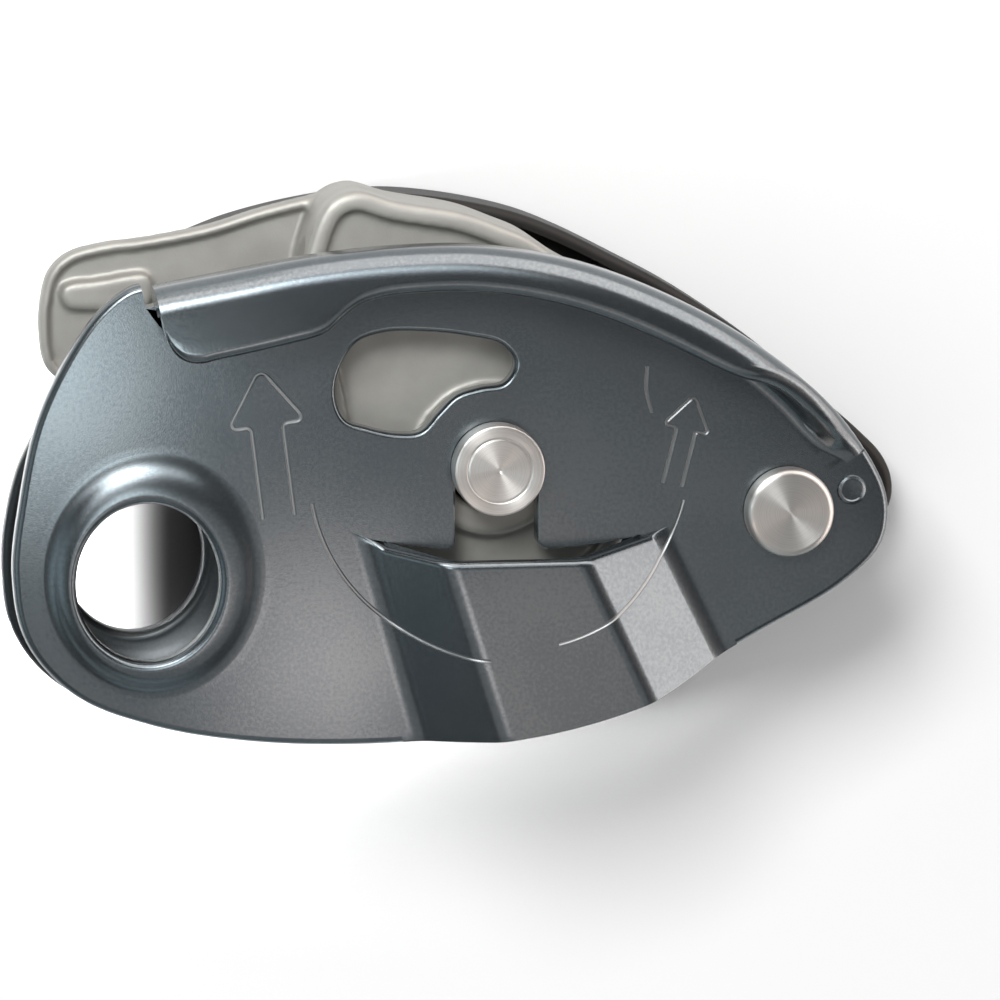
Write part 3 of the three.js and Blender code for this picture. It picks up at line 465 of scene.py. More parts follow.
# %% Turned steel
def turned_steel(name, place_mm):
    """Steel with lathe rings about a vertical axis, whose glints run along the radius."""
    material, tree = new_finish(name)
    centre = Vector((place_mm[0], place_mm[1], 0)) * MM + AXLE
    away = node(tree, "VectorMath", {0: coordinates(tree), 1: centre}, operation="SUBTRACT")
    radius = node(tree, "VectorMath", {0: away, 1: (1, 1, 0)}, operation="MULTIPLY")
    length = node(tree, "VectorMath", {0: radius}, operation="LENGTH")
    rings = node(tree, "TexNoise", {"W": length, "Scale": 9000, "Detail": 3}, noise_dimensions="1D")
    dress(tree, {
        "Base Color": tinted(tree, rings, (0.5, 0.49, 0.47), (0.6, 0.59, 0.57)),
        "Metallic": 1.0,
        "Roughness": spread(tree, rings, 0.28, 0.4),
        "Anisotropic": 0.8,
        "Tangent": node(tree, "VectorTransform", {"Vector": radius}, vector_type="VECTOR",
                        convert_from="OBJECT", convert_to="WORLD"),
    })
    return material


# %% Plain steel
def plain_steel(name, colour, roughness):
    """Stamped or drawn steel with a fine grain, drawn out four times along Y."""
    material, tree = new_finish(name)
    drawn = grain(tree, 2600, 4, (1, 0.25, 1))
    dress(tree, {
        "Base Color": (*colour, 1),
        "Metallic": 1.0,
        "Roughness": spread(tree, drawn, roughness - 0.07, roughness + 0.1),
        "Normal": bumped(tree, drawn, 0.12, 0.00003),
    })
    return material


# %% Steels of this device
cast_finish = cast_steel()
axle_finish = turned_steel("turned steel of the axle", (0, 0))
pivot_finish = turned_steel("turned steel of the plate pivot", PIVOT)
pin_finish = plain_steel("steel of pins and rivets", (0.56, 0.55, 0.54), 0.28)
wear_finish = plain_steel("stainless wear steel", (0.5, 0.49, 0.48), 0.32)
wire_finish = plain_steel("spring wire", (0.42, 0.42, 0.42), 0.26)
bronze_finish = plain_steel("sintered bronze", (0.5, 0.32, 0.14), 0.4)
mark_finish = plain_steel("metal in the engraved lines", (0.24, 0.25, 0.255), 0.36)


# %% [markdown]
# The handle is glass-filled nylon. Moulded nylon is near black with a fine spark-eroded texture that
# scatters the light, so its edges show as a soft grey line. So its bump is stronger than a metal's, and
# its mirror part is set low.


# %% Moulded nylon
def moulded_nylon():
    material, tree = new_finish("moulded nylon")
    texture = grain(tree, 3200, 4)
    dress(tree, {
        "Base Color": tinted(tree, grain(tree, 120, 2), (0.009, 0.0085, 0.008), (0.016, 0.015, 0.0138)),
        "Metallic": 0.0,
        "Roughness": spread(tree, texture, 0.36, 0.52),
        "Normal": bumped(tree, texture, 0.4, 0.00006),
        "Specular IOR Level": 0.18,
    })
    return material


nylon_finish = moulded_nylon()

# %% [markdown]
# ## The opening side plate
# This is the face of the device: one stamping with a rolled lip, a collared hole, a window, a slot and a
# raised channel. It is made from a flat blank, as the real one is, and each form is joined to it.
# First the blank: the outline goes clockwise from the lip's left end.

# %% Outlines of the opening plate
lip_points = 10            # the first corners, along which the lip runs
moving_corners = scaled([
    (-0.39, 0.216), (-0.307, 0.231), (-0.219, 0.2465), (-0.122, 0.256), (-0.02, 0.2555),
    (0.083, 0.237), (0.18, 0.201), (0.279, 0.147), (0.3665, 0.078), (0.425, 0.009),
    (0.451, -0.049), (0.4445, -0.0995), (0.4015, -0.143), (0.302, -0.199), (0.193, -0.257),
    (0.088, -0.2915), (-0.029, -0.31), (-0.156, -0.316), (-0.283, -0.309), (-0.39, -0.2885),
    (-0.4775, -0.2515), (-0.532, -0.189), (-0.547, -0.112), (-0.538, -0.029), (-0.5185, 0.0585),
    (-0.487, 0.127), (-0.45, 0.181), (-0.415, 0.2095),
], PLATE)
window_corners = scaled([
    (-0.182, 0.084), (-0.177, 0.115), (-0.158, 0.144), (-0.127, 0.155), (-0.078, 0.155),
    (-0.031, 0.149), (0.006, 0.139), (0.0215, 0.117), (0.01, 0.0955), (-0.0175, 0.0905),
    (-0.045, 0.082), (-0.066, 0.0625), (-0.086, 0.042), (-0.112, 0.04), (-0.148, 0.048),
    (-0.1715, 0.0575),
], PLATE)
moving_outline = soft_curve(moving_corners, 336)
low, high = LEVELS["moving"]
print("opening plate:", round(-area(moving_outline)), "mm2, from", low, "to", high)

# %% [markdown]
# The hole takes the connector. Its rim is a raised collar that rolls over into the hole, so that the
# connector never meets a sharp edge. It is spun as a round ring on both sides of the sheet, and then made
# a little oval, with its foot leaning towards the rope side, as the stamping of the real one is. Its front
# slope starts gently, is steepest halfway and eases off again below the crest.

# %% Collar of the hole
HOLE, COLLAR, RISE_OF_COLLAR, CREST = 9.0, 14.3, 1.3, 1.0
REAR_SHARE = 0.84          # rise of the hollow side
FOOT_BEND, CROWN_EASE = 0.45, 0.85
OVAL = (0.92, 1.03)
COLLAR_SHIFT = (-0.4, 0.3)
COLLAR_LEAN = (0.9, 0.7)
print("collar: radius", COLLAR, "round a hole of radius", HOLE)


def oval(piece):
    """Move a round piece to the attachment hole and give it the oval shape."""
    for vertex in piece.data.vertices:
        away = math.hypot(vertex.co.x, vertex.co.y)
        k = min(1, max(0, (away - HOLE) / (COLLAR - HOLE)))
        k = k * k * (3 - 2 * k)
        vertex.co.x = ATTACH[0] + COLLAR_SHIFT[0] + vertex.co.x * OVAL[0] + COLLAR_LEAN[0] * k
        vertex.co.y = ATTACH[1] + COLLAR_SHIFT[1] + vertex.co.y * OVAL[1] + COLLAR_LEAN[1] * k
    return piece


def collar(name, face, back, out):
    """Raised rim of the hole; out is 1 where it rises from the front, and -1 from the back."""
    steps = 20
    throat = HOLE + CREST
    shares = [(i + 0.5) / steps for i in range(steps)]
    slopes = [min(1, k / FOOT_BEND) * (1 - CROWN_EASE * max(0, k - 0.5) / 0.5) for k in shares]
    swell = [sum(slopes[:i]) / sum(slopes) for i in range(steps + 1)]
    front = [(COLLAR + (throat - COLLAR) * i / steps, face + out * RISE_OF_COLLAR * swell[i])
             for i in range(steps + 1)]
    rear_rise = RISE_OF_COLLAR * REAR_SHARE
    rear = [(throat + (COLLAR - throat) * i / steps, back + out * rear_rise * swell[steps - i])
            for i in range(steps + 1)]
    top, bottom = face + out * RISE_OF_COLLAR, back + out * rear_rise
    turns = [math.radians(10 * i) for i in range(1, 10)]
    over = [(throat - CREST * math.sin(a), top - out * CREST * (1 - math.cos(a))) for a in turns]
    under = [(throat - CREST * math.cos(a), bottom + out * CREST * (1 - math.sin(a)))
             for a in [0, *turns[:-1]]]
    foot = [(COLLAR + 0.6, face), (COLLAR + 0.25, face + out * 0.03)]
    return oval(spun(name, [*foot, *front[1:], *over, *under, *rear, (COLLAR + 0.6, back)], (0, 0), 160))


def collar_place(low, high):
    return oval(disc("collar place", (0, 0), COLLAR + 0.3, low, high, 160))


# %% [markdown]
# The lip guides the rope over the edge of the plate. The sheet is bent up, over and in, and how far it
# does so changes along the edge: a wide tab at the left, and at the right it lies down into the plate.
# Each row of the table below gives the place along the edge, the height of the wall, the amount of the
# two bends, and the reach of the free edge, as shares. A band of the blank is cut off along the edge, and
# the lip with its own band of flat sheet takes its place.

# %% Table and sizes of the lip
lip_shares = [
    (0, 1, 1, 1, 1), (0.2, 1, 1, 1, 0.93), (0.235, 1, 1, 1, 0.82), (0.262, 1, 1, 1, 0.5),
    (0.29, 1, 1, 1, 0.27), (0.34, 1, 1, 1, 0.16), (0.6, 1, 1, 1, 0.14), (0.72, 1, 1, 1, 0.14),
    (0.77, 1, 1, 0.94, 0.12), (0.8, 0.99, 1, 0.74, 0.09), (0.825, 0.96, 0.98, 0.44, 0.06),
    (0.85, 0.91, 0.95, 0.2, 0.04), (0.875, 0.84, 0.9, 0.08, 0.03), (0.9, 0.76, 0.8, 0.04, 0.03),
    (0.922, 0.68, 0.68, 0.03, 0.03), (0.942, 0.61, 0.52, 0.02, 0.03), (0.96, 0.55, 0.34, 0.01, 0.03),
    (0.975, 0.51, 0.19, 0.01, 0.03), (0.988, 0.48, 0.08, 0.01, 0.03), (1, 0.46, 0.01, 0.01, 0.03),
]
LIP_THICK, LIP_BEND, LIP_CURL, LIP_WALL, LIP_TAB, LIP_BAND = 2.6, 3.0, 1.9, 2.4, 5.0, 5.2
LIP_RELIEF, RELIEF_DEPTH, OVERLAP = 1.1, 2.7, 0.6
CORNER_SHARE, CORNER_START = 0.06, 0.15


# %% Sections of the lip
def lip_at(share):
    """The table's values at a share of the way along the lip, on a soft curve between its rows."""
    if share < CORNER_SHARE:
        round_off = math.sqrt(1 - (1 - share / CORNER_SHARE) ** 2)
        return [1, 1, 1, CORNER_START + (1 - CORNER_START) * round_off]
    nxt = next((i for i, row in enumerate(lip_shares) if row[0] >= share and i), len(lip_shares) - 1)
    rows = [lip_shares[min(max(nxt + i, 0), len(lip_shares) - 1)] for i in (-2, -1, 0, 1)]
    step = rows[2][0] - rows[1][0]
    k = (share - rows[1][0]) / step
    found = []
    for before, start, end, after in list(zip(*rows))[1:]:
        leave = (end - before) / (rows[2][0] - rows[0][0]) * step
        arrive = (after - start) / (rows[3][0] - rows[1][0]) * step
        found.append(start * (2 * k ** 3 - 3 * k ** 2 + 1) + leave * (k ** 3 - 2 * k ** 2 + k)
                     + end * (3 * k ** 2 - 2 * k ** 3) + arrive * (k ** 3 - k ** 2))
    return found


def bend_steps(radius, degrees, steps):
    """Length and turn of each step round a bend."""
    turn = math.radians(degrees) / steps
    return [(2 * radius * math.sin(turn / 2) + 1e-5, turn)] * steps


def lip_section(share):
    """Flat section: x runs inwards from the plate's edge, y is the level."""
    wall, bend, curl, reach = lip_at(share)
    place, heading = Vector((0, (low + high) / 2)), 0.0
    spine = [(place, heading)]
    thick = SHEET + (LIP_THICK - SHEET) * min(1, 1.5 * bend)
    steps = 10
    runs = [*bend_steps(LIP_BEND, 90 * bend, steps), *[(LIP_WALL * wall / 4, 0)] * 4,
            *bend_steps(LIP_CURL, 84 * curl, steps), *[(LIP_TAB * reach / 4, 0)] * 4]
    for length, turning in runs:
        heading += turning / 2
        place = place + Vector((math.cos(heading), math.sin(heading))) * length
        heading += turning / 2
        spine.append((place, heading))

    def side(way):
        points = []
        for i, (point, angle) in enumerate(spine):
            half = (SHEET + (thick - SHEET) * min(1, i / steps)) / 2
            points.append(Vector((point.x - way * half * math.sin(angle),
                                  point.y + way * half * math.cos(angle))))
        return points

    tip, angle = spine[-1]
    nose = [Vector((tip.x + thick / 2 * math.cos(angle + math.radians(t)),
                    tip.y + thick / 2 * math.sin(angle + math.radians(t)))) for t in range(72, -73, -18)]
    contour = [*side(1), *nose, *reversed(side(-1))]
    outermost = max(p.x for p in contour)
    inner = LIP_BAND + OVERLAP
    return [Vector((inner, high)), *(Vector((outermost - p.x, p.y)) for p in contour), Vector((inner, low))]


# %% Skin of the lip
def edge_at(shares):
    """Place and direction on the plate's edge at shares of the lip's length."""
    fine = 4000
    loop = soft_curve(moving_corners, fine)
    span = (lip_points - 1) / len(moving_corners) * fine
    found = []
    for share in shares:
        i = min(share * span, span)
        k = int(i)
        point = loop[k].lerp(loop[(k + 1) % fine], i - k)
        along = (loop[(k + 2) % fine] - loop[k - 2]).normalized()
        found.append((point, along))
    return found


tabled = [row[0] for row in lip_shares]
corner = [CORNER_SHARE * (1 - math.cos(math.pi / 2 * i / 14)) for i in range(15)]
even = [i / 72 for i in range(5, 52)]
close = [i / 160 for i in range(116, 161)]
stations = [*corner, *sorted({*tabled[1:], *even, *close})]
stations = [share for i, share in enumerate(stations)
            if i < len(corner) or share in tabled or share - stations[i - 1] > 0.003]
edge = edge_at(stations)
rows = []
for share, (point, along) in zip(stations, edge):
    rows.append([(point.x + along.y * p.x, point.y - along.x * p.x, p.y) for p in lip_section(share)])
lip = skin("lip", rows)
relief = edge[0][1] * -LIP_RELIEF
strip_inner = [p + Vector((a.y, -a.x)) * LIP_BAND for p, a in edge]
strip_outer = [p - Vector((a.y, -a.x)) * PAST for p, a in reversed(edge)]
notch = edge[0][0] + Vector((edge[0][1].y, -edge[0][1].x)) * RELIEF_DEPTH
strip_loop = [notch + relief, notch, *strip_inner, *strip_outer, strip_outer[-1] + relief]
lip_strip = slab("lip strip", strip_loop, low - PAST, high + PAST)
print("lip sections:", len(stations))

# %% [markdown]
# The channel lets the axle's head pass under the plate as the plate swings open. The press cuts a slit
# and lifts the sheet behind it, so the channel has an open mouth at the slit and runs out at the edge. It
# is a skin over rows that follow the slit's arc. The mouth's round edge is made by the first rows, which
# are thinner: a bevel would be held back by the short edges of the folds. Where the sheet isn't raised
# yet, a row keeps its thickness and laps over the slit, so that the slit ends in a point.

# %% Sizes of the channel
RISE, WALL, ROUND, FOOT = 6.3, 2.5, 4.6, 5.6
BESIDE = 2.5               # flat sheet beside the folds
SLIT_RADIUS, SLIT_WIDTH, SLIT_LAP = 80.0, 0.5, 0.3
FREE_RISE = 1.2            # where the sheet is raised more than this, the slit is fully open
MOUTH_ROUND = 0.9
head = {"y": -0.078, "across": (-0.1477, -0.073, 0.083, 0.186)}
mouth = {"y": -0.36, "across": (-0.072, 0.018, 0.214, 0.33)}
slit = Vector((0.0195 * PLATE, -0.0965 * PLATE))


# %% Sections of the channel
def filleted(corners, steps):
    """A line of straight runs whose corners (x, y, radius) are rounded."""
    points = [Vector(c[:2]) for c in corners]
    line = []
    for i, corner in enumerate(points):
        radius = corners[i][2]
        if not radius:
            line.append(corner)
            continue
        back, on = (points[i - 1] - corner).normalized(), (points[i + 1] - corner).normalized()
        half = back.angle(on) / 2
        centre = corner + (back + on).normalized() * radius / math.sin(half)
        start = corner + back * radius / math.tan(half) - centre
        sweep = (math.pi - 2 * half) * (1 if on.cross(back) > 0 else -1)
        for k in range(steps + 1):
            line.append(Matrix.Rotation(sweep * k / steps, 2) @ start + centre)
    return line


def channel_lines(k):
    across = [PLATE * (a + (b - a) * k) for a, b in zip(head["across"], mouth["across"])]
    return across, PLATE * (head["y"] + (mouth["y"] - head["y"]) * k)


def channel_row(k):
    (left_foot, left, right, right_foot), y = channel_lines(k)
    top = high + RISE
    start, end = left_foot - BESIDE, right_foot + BESIDE
    under_left = SHEET * math.tan(math.atan2(RISE, left - left_foot) / 2)
    under_right = SHEET * math.tan(math.atan2(RISE, right_foot - right) / 2)
    outer = filleted([(start, high, 0), (left_foot, high, FOOT), (left, top, ROUND),
                      (right, top, ROUND), (right_foot, high, FOOT), (end, high, 0)], 10)
    inner = filleted([(end, low, 0), (right_foot - under_right, low, FOOT + WALL),
                      (right - under_right, top - WALL, ROUND - WALL),
                      (left + under_left, top - WALL, ROUND - WALL),
                      (left_foot + under_left, low, FOOT + WALL), (start, low, 0)], 10)
    return [(p.x, y, p.y) for p in [*outer, *inner]]


slit_centre = slit + Vector((0, SLIT_RADIUS))
head_across = [PLATE * share for share in head["across"]]
mouth_across = [PLATE * share for share in mouth["across"]]
reach = math.degrees(math.asin((head_across[3] - head_across[0]) / 2 / SLIT_RADIUS))
lean = math.degrees(math.asin(((head_across[3] + head_across[0]) / 2 - slit.x) / SLIT_RADIUS)) - 90
mouth_y = PLATE * mouth["y"]


def below_mouth(x, down):
    radius = SLIT_RADIUS + SLIT_WIDTH
    return slit_centre.y - math.sqrt(radius ** 2 - (x - slit_centre.x) ** 2) - down


def channel_curve(down, thin):
    """The channel's section along the slit's arc, moved down from it and thinned from both sides."""
    def section(y):
        return channel_row((y / PLATE - head["y"]) / (mouth["y"] - head["y"]))

    line = []
    for i, (x, _, z) in enumerate(section(slit.y - SLIT_WIDTH - down)):
        x = section(below_mouth(x, down))[i][0]
        line.append(Vector((x, below_mouth(x, down), z)))
    curve = []
    for a, b in zip(line, reversed(line)):
        raised = min(1, max(0, max(a.z, b.z) - high) / FREE_RISE)
        lap = Vector((0, (SLIT_WIDTH + SLIT_LAP) * (1 - raised), 0))
        curve.append(a.lerp(b, thin / WALL * raised) + lap)
    return curve


# %% Skin of the channel
rows = [channel_curve(MOUTH_ROUND * (1 - math.cos(a)), MOUTH_ROUND * (1 - math.sin(a)))
        for a in (math.radians(15 * i) for i in range(7))]
channel_length = slit.y - SLIT_WIDTH - mouth_y
rows += [channel_curve(MOUTH_ROUND + (channel_length - MOUTH_ROUND) * i / 12, 0) for i in range(1, 13)]
channel = skin("channel", rows)
keep(channel, slab("outline cut", inwards(moving_outline, 0.15), low - PAST, high + RISE + PAST))
bevelled(channel, 0.8, 40, 5)
opening_loop = [*arc(slit_centre, SLIT_RADIUS, lean - reach, lean + reach, 48),
                Vector((mouth_across[3], mouth_y)), Vector((mouth_across[0], mouth_y))]
channel_opening = slab("channel opening", opening_loop, low - PAST, high + PAST)
print("channel:", len(rows), "rows,", round(channel_length, 1), "mm long")

# %% [markdown]
# The slot lets the axle's neck through, and flares where it meets the slit. With the slot, the window
# and the pivot hole cut, the lip, the channel and the collar are joined on. Each cutter brings its own
# rolled edge, because one bevel over the whole plate would stop at its shortest edge.

# %% Cut and join the plate
NECK, SLOT_CLEAR, FLARE = 4.2, 0.6, 1.4
AXLE_HEAD, HEAD_CLEAR, SEAT_DEPTH = 5.3, 0.4, 0.25
RIVET_HOLE = 3.3
slot_half = NECK + SLOT_CLEAR
slot_end = slit.y + FLARE
slot_loop = [
    *arc((0, 0), slot_half, 0, 180, 40),
    *arc((-slot_half - FLARE, slot_end), FLARE, 0, -90, 10),
    Vector((-slot_half - FLARE, slit.y - 2)), Vector((slot_half + FLARE, slit.y - 2)),
    *arc((slot_half + FLARE, slot_end), FLARE, 270, 180, 10),
]
plate = slab("opening_plate", moving_outline, low, high, EDGE)
cut(plate,
    lip_strip,
    collar_place(low - PAST, high + PAST),
    channel_opening,
    flared("slot", slot_loop, low, high, 0.3, 3),
    disc("axle seat", (0, 0), AXLE_HEAD + HEAD_CLEAR, high - SEAT_DEPTH, high + PAST),
    flared("pivot hole", ring_loop(PIVOT, RIVET_HOLE, 60), low, high, HOLE_EDGE, 2),
    flared("window", soft_curve(window_corners, 128), low, high, 0.65))
join(plate, lip, channel, collar("collar", high, low, 1))
print("plate faces:", len(plate.data.polygons))

# %% [markdown]
# A small half-pierced dimple marks the end of the plate, and the path of the rope is engraved round the
# axle. The engraving is cut by a thin round bar that is laid on the surface point by point, so it climbs
# over the channel. A bump in the finish would be easier, but a real groove catches the light and is part
# of the mesh. A plain direction arrow stands beside each strand of the rope.

# %% Dimple
join(plate, spun("dimple", [(0, high - 0.6), (1.75, high - 0.6), (1.75, high), (1.62, high + 0.2),
                            (1.35, high + 0.32), (1.2, high + 0.18), (0, high + 0.12)], DIMPLE, 48))


# %% Engraved lines and plain arrows
def surface_level(x, y):
    """Level of the plate's face, found by a ray from well above it."""
    hit, place, _, _ = plate.ray_cast(Vector((x, y, 2 * high)), Vector((0, 0, -1)))
    return place.z if hit else high


def engraved(name, line, width=0.5, depth=0.2):
    """A bar that cuts a line of this width and depth into the plate's face."""
    radius = (width * width / 4 + depth * depth) / (2 * depth)
    lift = radius - depth
    line = [Vector((x, y, surface_level(x, y) + lift)) for x, y in line]
    return wire(name, line, radius, 10)


def dense(corners, step):
    """Straight runs with points at short steps."""
    line = []
    for a, b in zip(corners, corners[1:]):
        a, b = Vector(a), Vector(b)
        count = max(1, round((b - a).length / step))
        line += [a.lerp(b, i / count) for i in range(count)]
    return [*line, Vector(corners[-1])]


def arrow(place, tilt, size):
    """Outline of a plain arrow that points along +Y before it is tilted, open at its tail."""
    half = [(0.21, -1, 0), (0.21, 0.24, 0.07), (0.52, 0.24, 0.07), (0, 1, 0.1)]
    corners = [*half, *((-x, y, r) for x, y, r in reversed(half[:-1]))]
    turn = Matrix.Rotation(math.radians(tilt), 2)
    placed = [(*(turn @ Vector((x, y)) * size + Vector(place)), r * size) for x, y, r in corners]
    return dense(filleted(placed, 6), 0.5)


# %% Cut the engraved lines
plate.data.update()
rope_marks = [
    engraved("rope mark left", arc((0, 0), 21.8, 190, 266, 120)),
    engraved("rope mark right", arc((1.7, 0.5), 20.9, 283, 346.5, 90)),
    engraved("rope tick", soft_curve([(17.7, 11.4), (17.6, 8.6), (18.3, 5.9)], 14, closed=False)),
    engraved("arrow of the live strand", arrow((-26.4, 3.4), 7, 8.8)),
    engraved("arrow of the free strand", arrow((22.0, 2.6), -14, 5.4)),
]
plate.data.materials.append(front_finish)
for mark in rope_marks:
    mark.data.materials.append(mark_finish)
cut(plate, *rope_marks)
print("faces in the engraved lines:", sum(polygon.material_index > 0 for polygon in plate.data.polygons))
settle(plate, "moving_side_plate", "moving_plate", front_finish, marks=mark_finish)

# %% [markdown]
# ## The back plate
# The fixed plate carries everything else. It is flat sheet with the same collar round its hole, pressed
# the other way, and a round bite where the cam's hinge swings past. The helpers of the opening plate make
# it too, so that holes and rims stay in line.

# %% Back plate
low, high = LEVELS["fixed"]
fixed_outline = soft_curve(scaled([
    (-0.505, 0.029), (-0.473, 0.0925), (-0.429, 0.1365), (-0.351, 0.18), (-0.2535, 0.2065),
    (-0.1365, 0.22), (-0.02, 0.2165), (0.088, 0.197), (0.19, 0.164), (0.2875, 0.118),
    (0.37, 0.061), (0.424, -0.008), (0.4385, -0.068), (0.417, -0.119), (0.3605, -0.162),
    (0.263, -0.218), (0.146, -0.275), (0.02, -0.312), (-0.117, -0.33), (-0.263, -0.329),
    (-0.385, -0.315), (-0.4564, -0.288), (-0.511, -0.245), (-0.5395, -0.195), (-0.547, -0.14),
    (-0.545, -0.09), (-0.529, -0.02),
], PLATE), 324)
TAIL_LOW = 0.187 * CAM_REACH
STOP_HEAD, BOSS = 1.8, 4.2
stop_place = Vector((-0.78 * CAM_REACH, TAIL_LOW - GAP - STOP_HEAD))
anchor_place = Vector((9.4 * math.cos(math.radians(50)), 9.4 * math.sin(math.radians(50))))
FACE, WEAR = 27.6, 2.0     # the wear plate's rope side, and its thickness
FOOT_LONG, FOOT_LOW, FOOT_HIGH, FOOT_RIVET = 11, -1, 6.6, 1.8
foot_places = [Vector((FACE + WEAR + FOOT_LONG * along, FOOT_HIGH + (FOOT_LOW - FOOT_HIGH) * across))
               for along, across in ((0.25, 0.4), (0.72, 0.66))]
CAM_TURN = 25
clear = BOSS + 2 * GAP
hinge_degrees = math.degrees(HINGE_ANGLE)
swing = hinge_degrees - CAM_TURN - math.degrees(math.asin(clear / CAM_REACH))
bite = [*arc((0, 0), CAM_REACH - clear, swing, hinge_degrees, 40),
        *arc(HINGE, clear, hinge_degrees + 180, hinge_degrees, 30),
        *arc((0, 0), CAM_REACH + 14, hinge_degrees, swing, 20)]


def through(name, place, radius, sides):
    """A cutter for a plain round hole through the back plate."""
    return disc(name, place, radius, low - PAST, high + PAST, sides)


back_plate = slab("back_plate", fixed_outline, low, high, EDGE)
cut(back_plate,
    collar_place(low - PAST, high + PAST),
    flared("axle hole", ring_loop((0, 0), NECK + GAP, 60), low, high, HOLE_EDGE, 2),
    flared("pivot hole", ring_loop(PIVOT, RIVET_HOLE, 60), low, high, HOLE_EDGE, 2),
    through("stop hole", stop_place, 1.6, 40),
    through("anchor hole", anchor_place, 0.9, 32),
    *(through("foot hole", place, FOOT_RIVET, 40) for place in foot_places),
    flared("bite", bite, low, high, 0.3, 3))
join(back_plate, collar("collar", low, high, -1))
settle(back_plate, "fixed_side_plate", "frame", back_finish_painted_dark)

# %% [markdown]
# ## The cam
# The cam is one casting: a round wheel with a rope groove, a block with a shallow pocket, and a thin tail
# with a low bead round its rim and a pad at its hinge. It could be sculpted, but its forms are plain ones
# with soft fillets, so it is built from rolled slabs, and then a voxel remesh and a few smoothing passes
# fill its corners as a casting's are.

# %% Cam outlines
cam_low, cam_high = LEVELS["cam"]
body_corners = [
    (-0.3975, 0.1255), (-0.431, 0.272), (-0.46, 0.418), (-0.4435, 0.5335), (-0.395, 0.637),
    (-0.327, 0.664), (-0.2308, 0.638), (-0.0623, 0.606), (0.0258, 0.573), (0.0944, 0.5435),
    (0.18, 0.485), (0.295, 0.42), (0.38, 0.345), (0.41, 0.251), (0.3975, 0.1255),
]
tail_corners = [
    (-1.066, 0.222), (-1.0815, 0.303), (-1.0775, 0.385), (-1.0565, 0.456), (-1.012, 0.4985),
    (-0.9264, 0.5225), (-0.8287, 0.5335), (-0.6695, 0.5615), (-0.5396, 0.6), (-0.4315, 0.6255),
    (-0.335, 0.645), (-0.2, 0.6), (-0.15, 0.46), (-0.15, 0.16), (-0.335, 0.08), (-0.502, 0.151),
    (-0.69, 0.187), (-0.8995, 0.187), (-1.021, 0.187),
]
pad_corners = [
    (-1.029, 0.395), (-1.024, 0.42), (-1.005, 0.429), (-0.934, 0.4365), (-0.85, 0.4495),
    (-0.818, 0.447), (-0.805, 0.425), (-0.81, 0.375), (-0.87, 0.352), (-0.947, 0.36), (-1.01, 0.367),
]
WHEEL, HUB, WEB, BEAD, BEAD_WIDTH, PAD = 18.6, 8.8, 2.2, 0.9, 1.1, 1.1
wheel_arc = [tuple(p) for p in arc((0, 0), WHEEL, 0, -180, 8)]
body = soft_curve([*scaled(body_corners, CAM_REACH), *wheel_arc], 240)
tail = soft_curve(scaled(tail_corners, CAM_REACH), 228)
pad_loop = soft_curve(scaled(pad_corners, CAM_REACH), 132)
web_top = cam_low + WEB
print("cam outlines:", len(body), "and", len(tail), "points")

# %% Cam solids
ROPE, ROPE_BEND, ROPE_LEVEL, ROPE_LEAN = 5.8, 22.5, 20, 0.17
rope_high = ROPE_BEND + CAM_REACH / 4
rope_side = ROPE_BEND + ROPE_LEAN * rope_high
rope_line = [(-rope_side, rope_high), *[tuple(p) for p in arc((0, 0), ROPE_BEND, 180, 360, 12)],
             (rope_side, rope_high)]
rope_line = [Vector((p.x, p.y, ROPE_LEVEL)) for p in soft_curve(rope_line, 120, closed=False)]
hub_top, pin_hole = 26.4, 2.3

cam = slab("cam_casting", tail, cam_low, web_top, 0.3, 3)
bead = slab("bead", tail, cam_low + 0.6, web_top + BEAD, 0.62, 4)
cut(bead, slab("inside the bead", inwards(tail, BEAD_WIDTH), web_top - 0.6, web_top + 3))
pad = slab("hinge pad", pad_loop, web_top - 0.6, web_top + PAD, 0.6, 4)
block = slab("block", body, cam_low, cam_high, 0.9, 5)
cut(block,
    slab("pocket", inwards(body, 2.2), cam_high - 1.1, cam_high + 2),
    wire("rope", rope_line, ROPE, 40))
hub = disc("hub", (0, 0), HUB, cam_low, hub_top, 80, 0.6)
boss = disc("boss", HINGE, BOSS, 8.6, web_top, 60)
join(cam, bead, pad, block, hub, boss)
cavity_low, cavity_high = cam_low - PAST, cam_low + 6
cavity = [(6.7, cavity_low), (10.3, cavity_low), (10.3, cavity_high), (6.7, cavity_high)]
cut(cam,
    spun("spring cavity", cavity, (0, 0), 72),
    disc("tube end", (0, 0), 8.7, cavity_low, cam_low + 0.9),
    disc("bore", (0, 0), 5.6, cavity_low, 30, 80),
    disc("pin bore", HINGE, pin_hole, 6.6, web_top - 1.2, 40))
print("cam before it is softened:", len(cam.data.polygons), "faces")

# %% Soften the casting
modified(cam, "REMESH", mode="VOXEL", voxel_size=0.33)
modified(cam, "SMOOTH", factor=0.5, iterations=4)
settle(cam, "cam", "cam", cast_finish, 180)

# %% [markdown]
# ## Turned pieces
# The axle's head shows a ring groove and the small dimple of the lathe's centre. The plate pivot is a
# rivet with a flat head and a soft edge. Their back ends are riveted over the back plate. All the small
# pins and rivets, and the rings on them, are turned in the same way, as a spun section: its points give
# every edge its own chamfer, which a cylinder with a bevel would not.

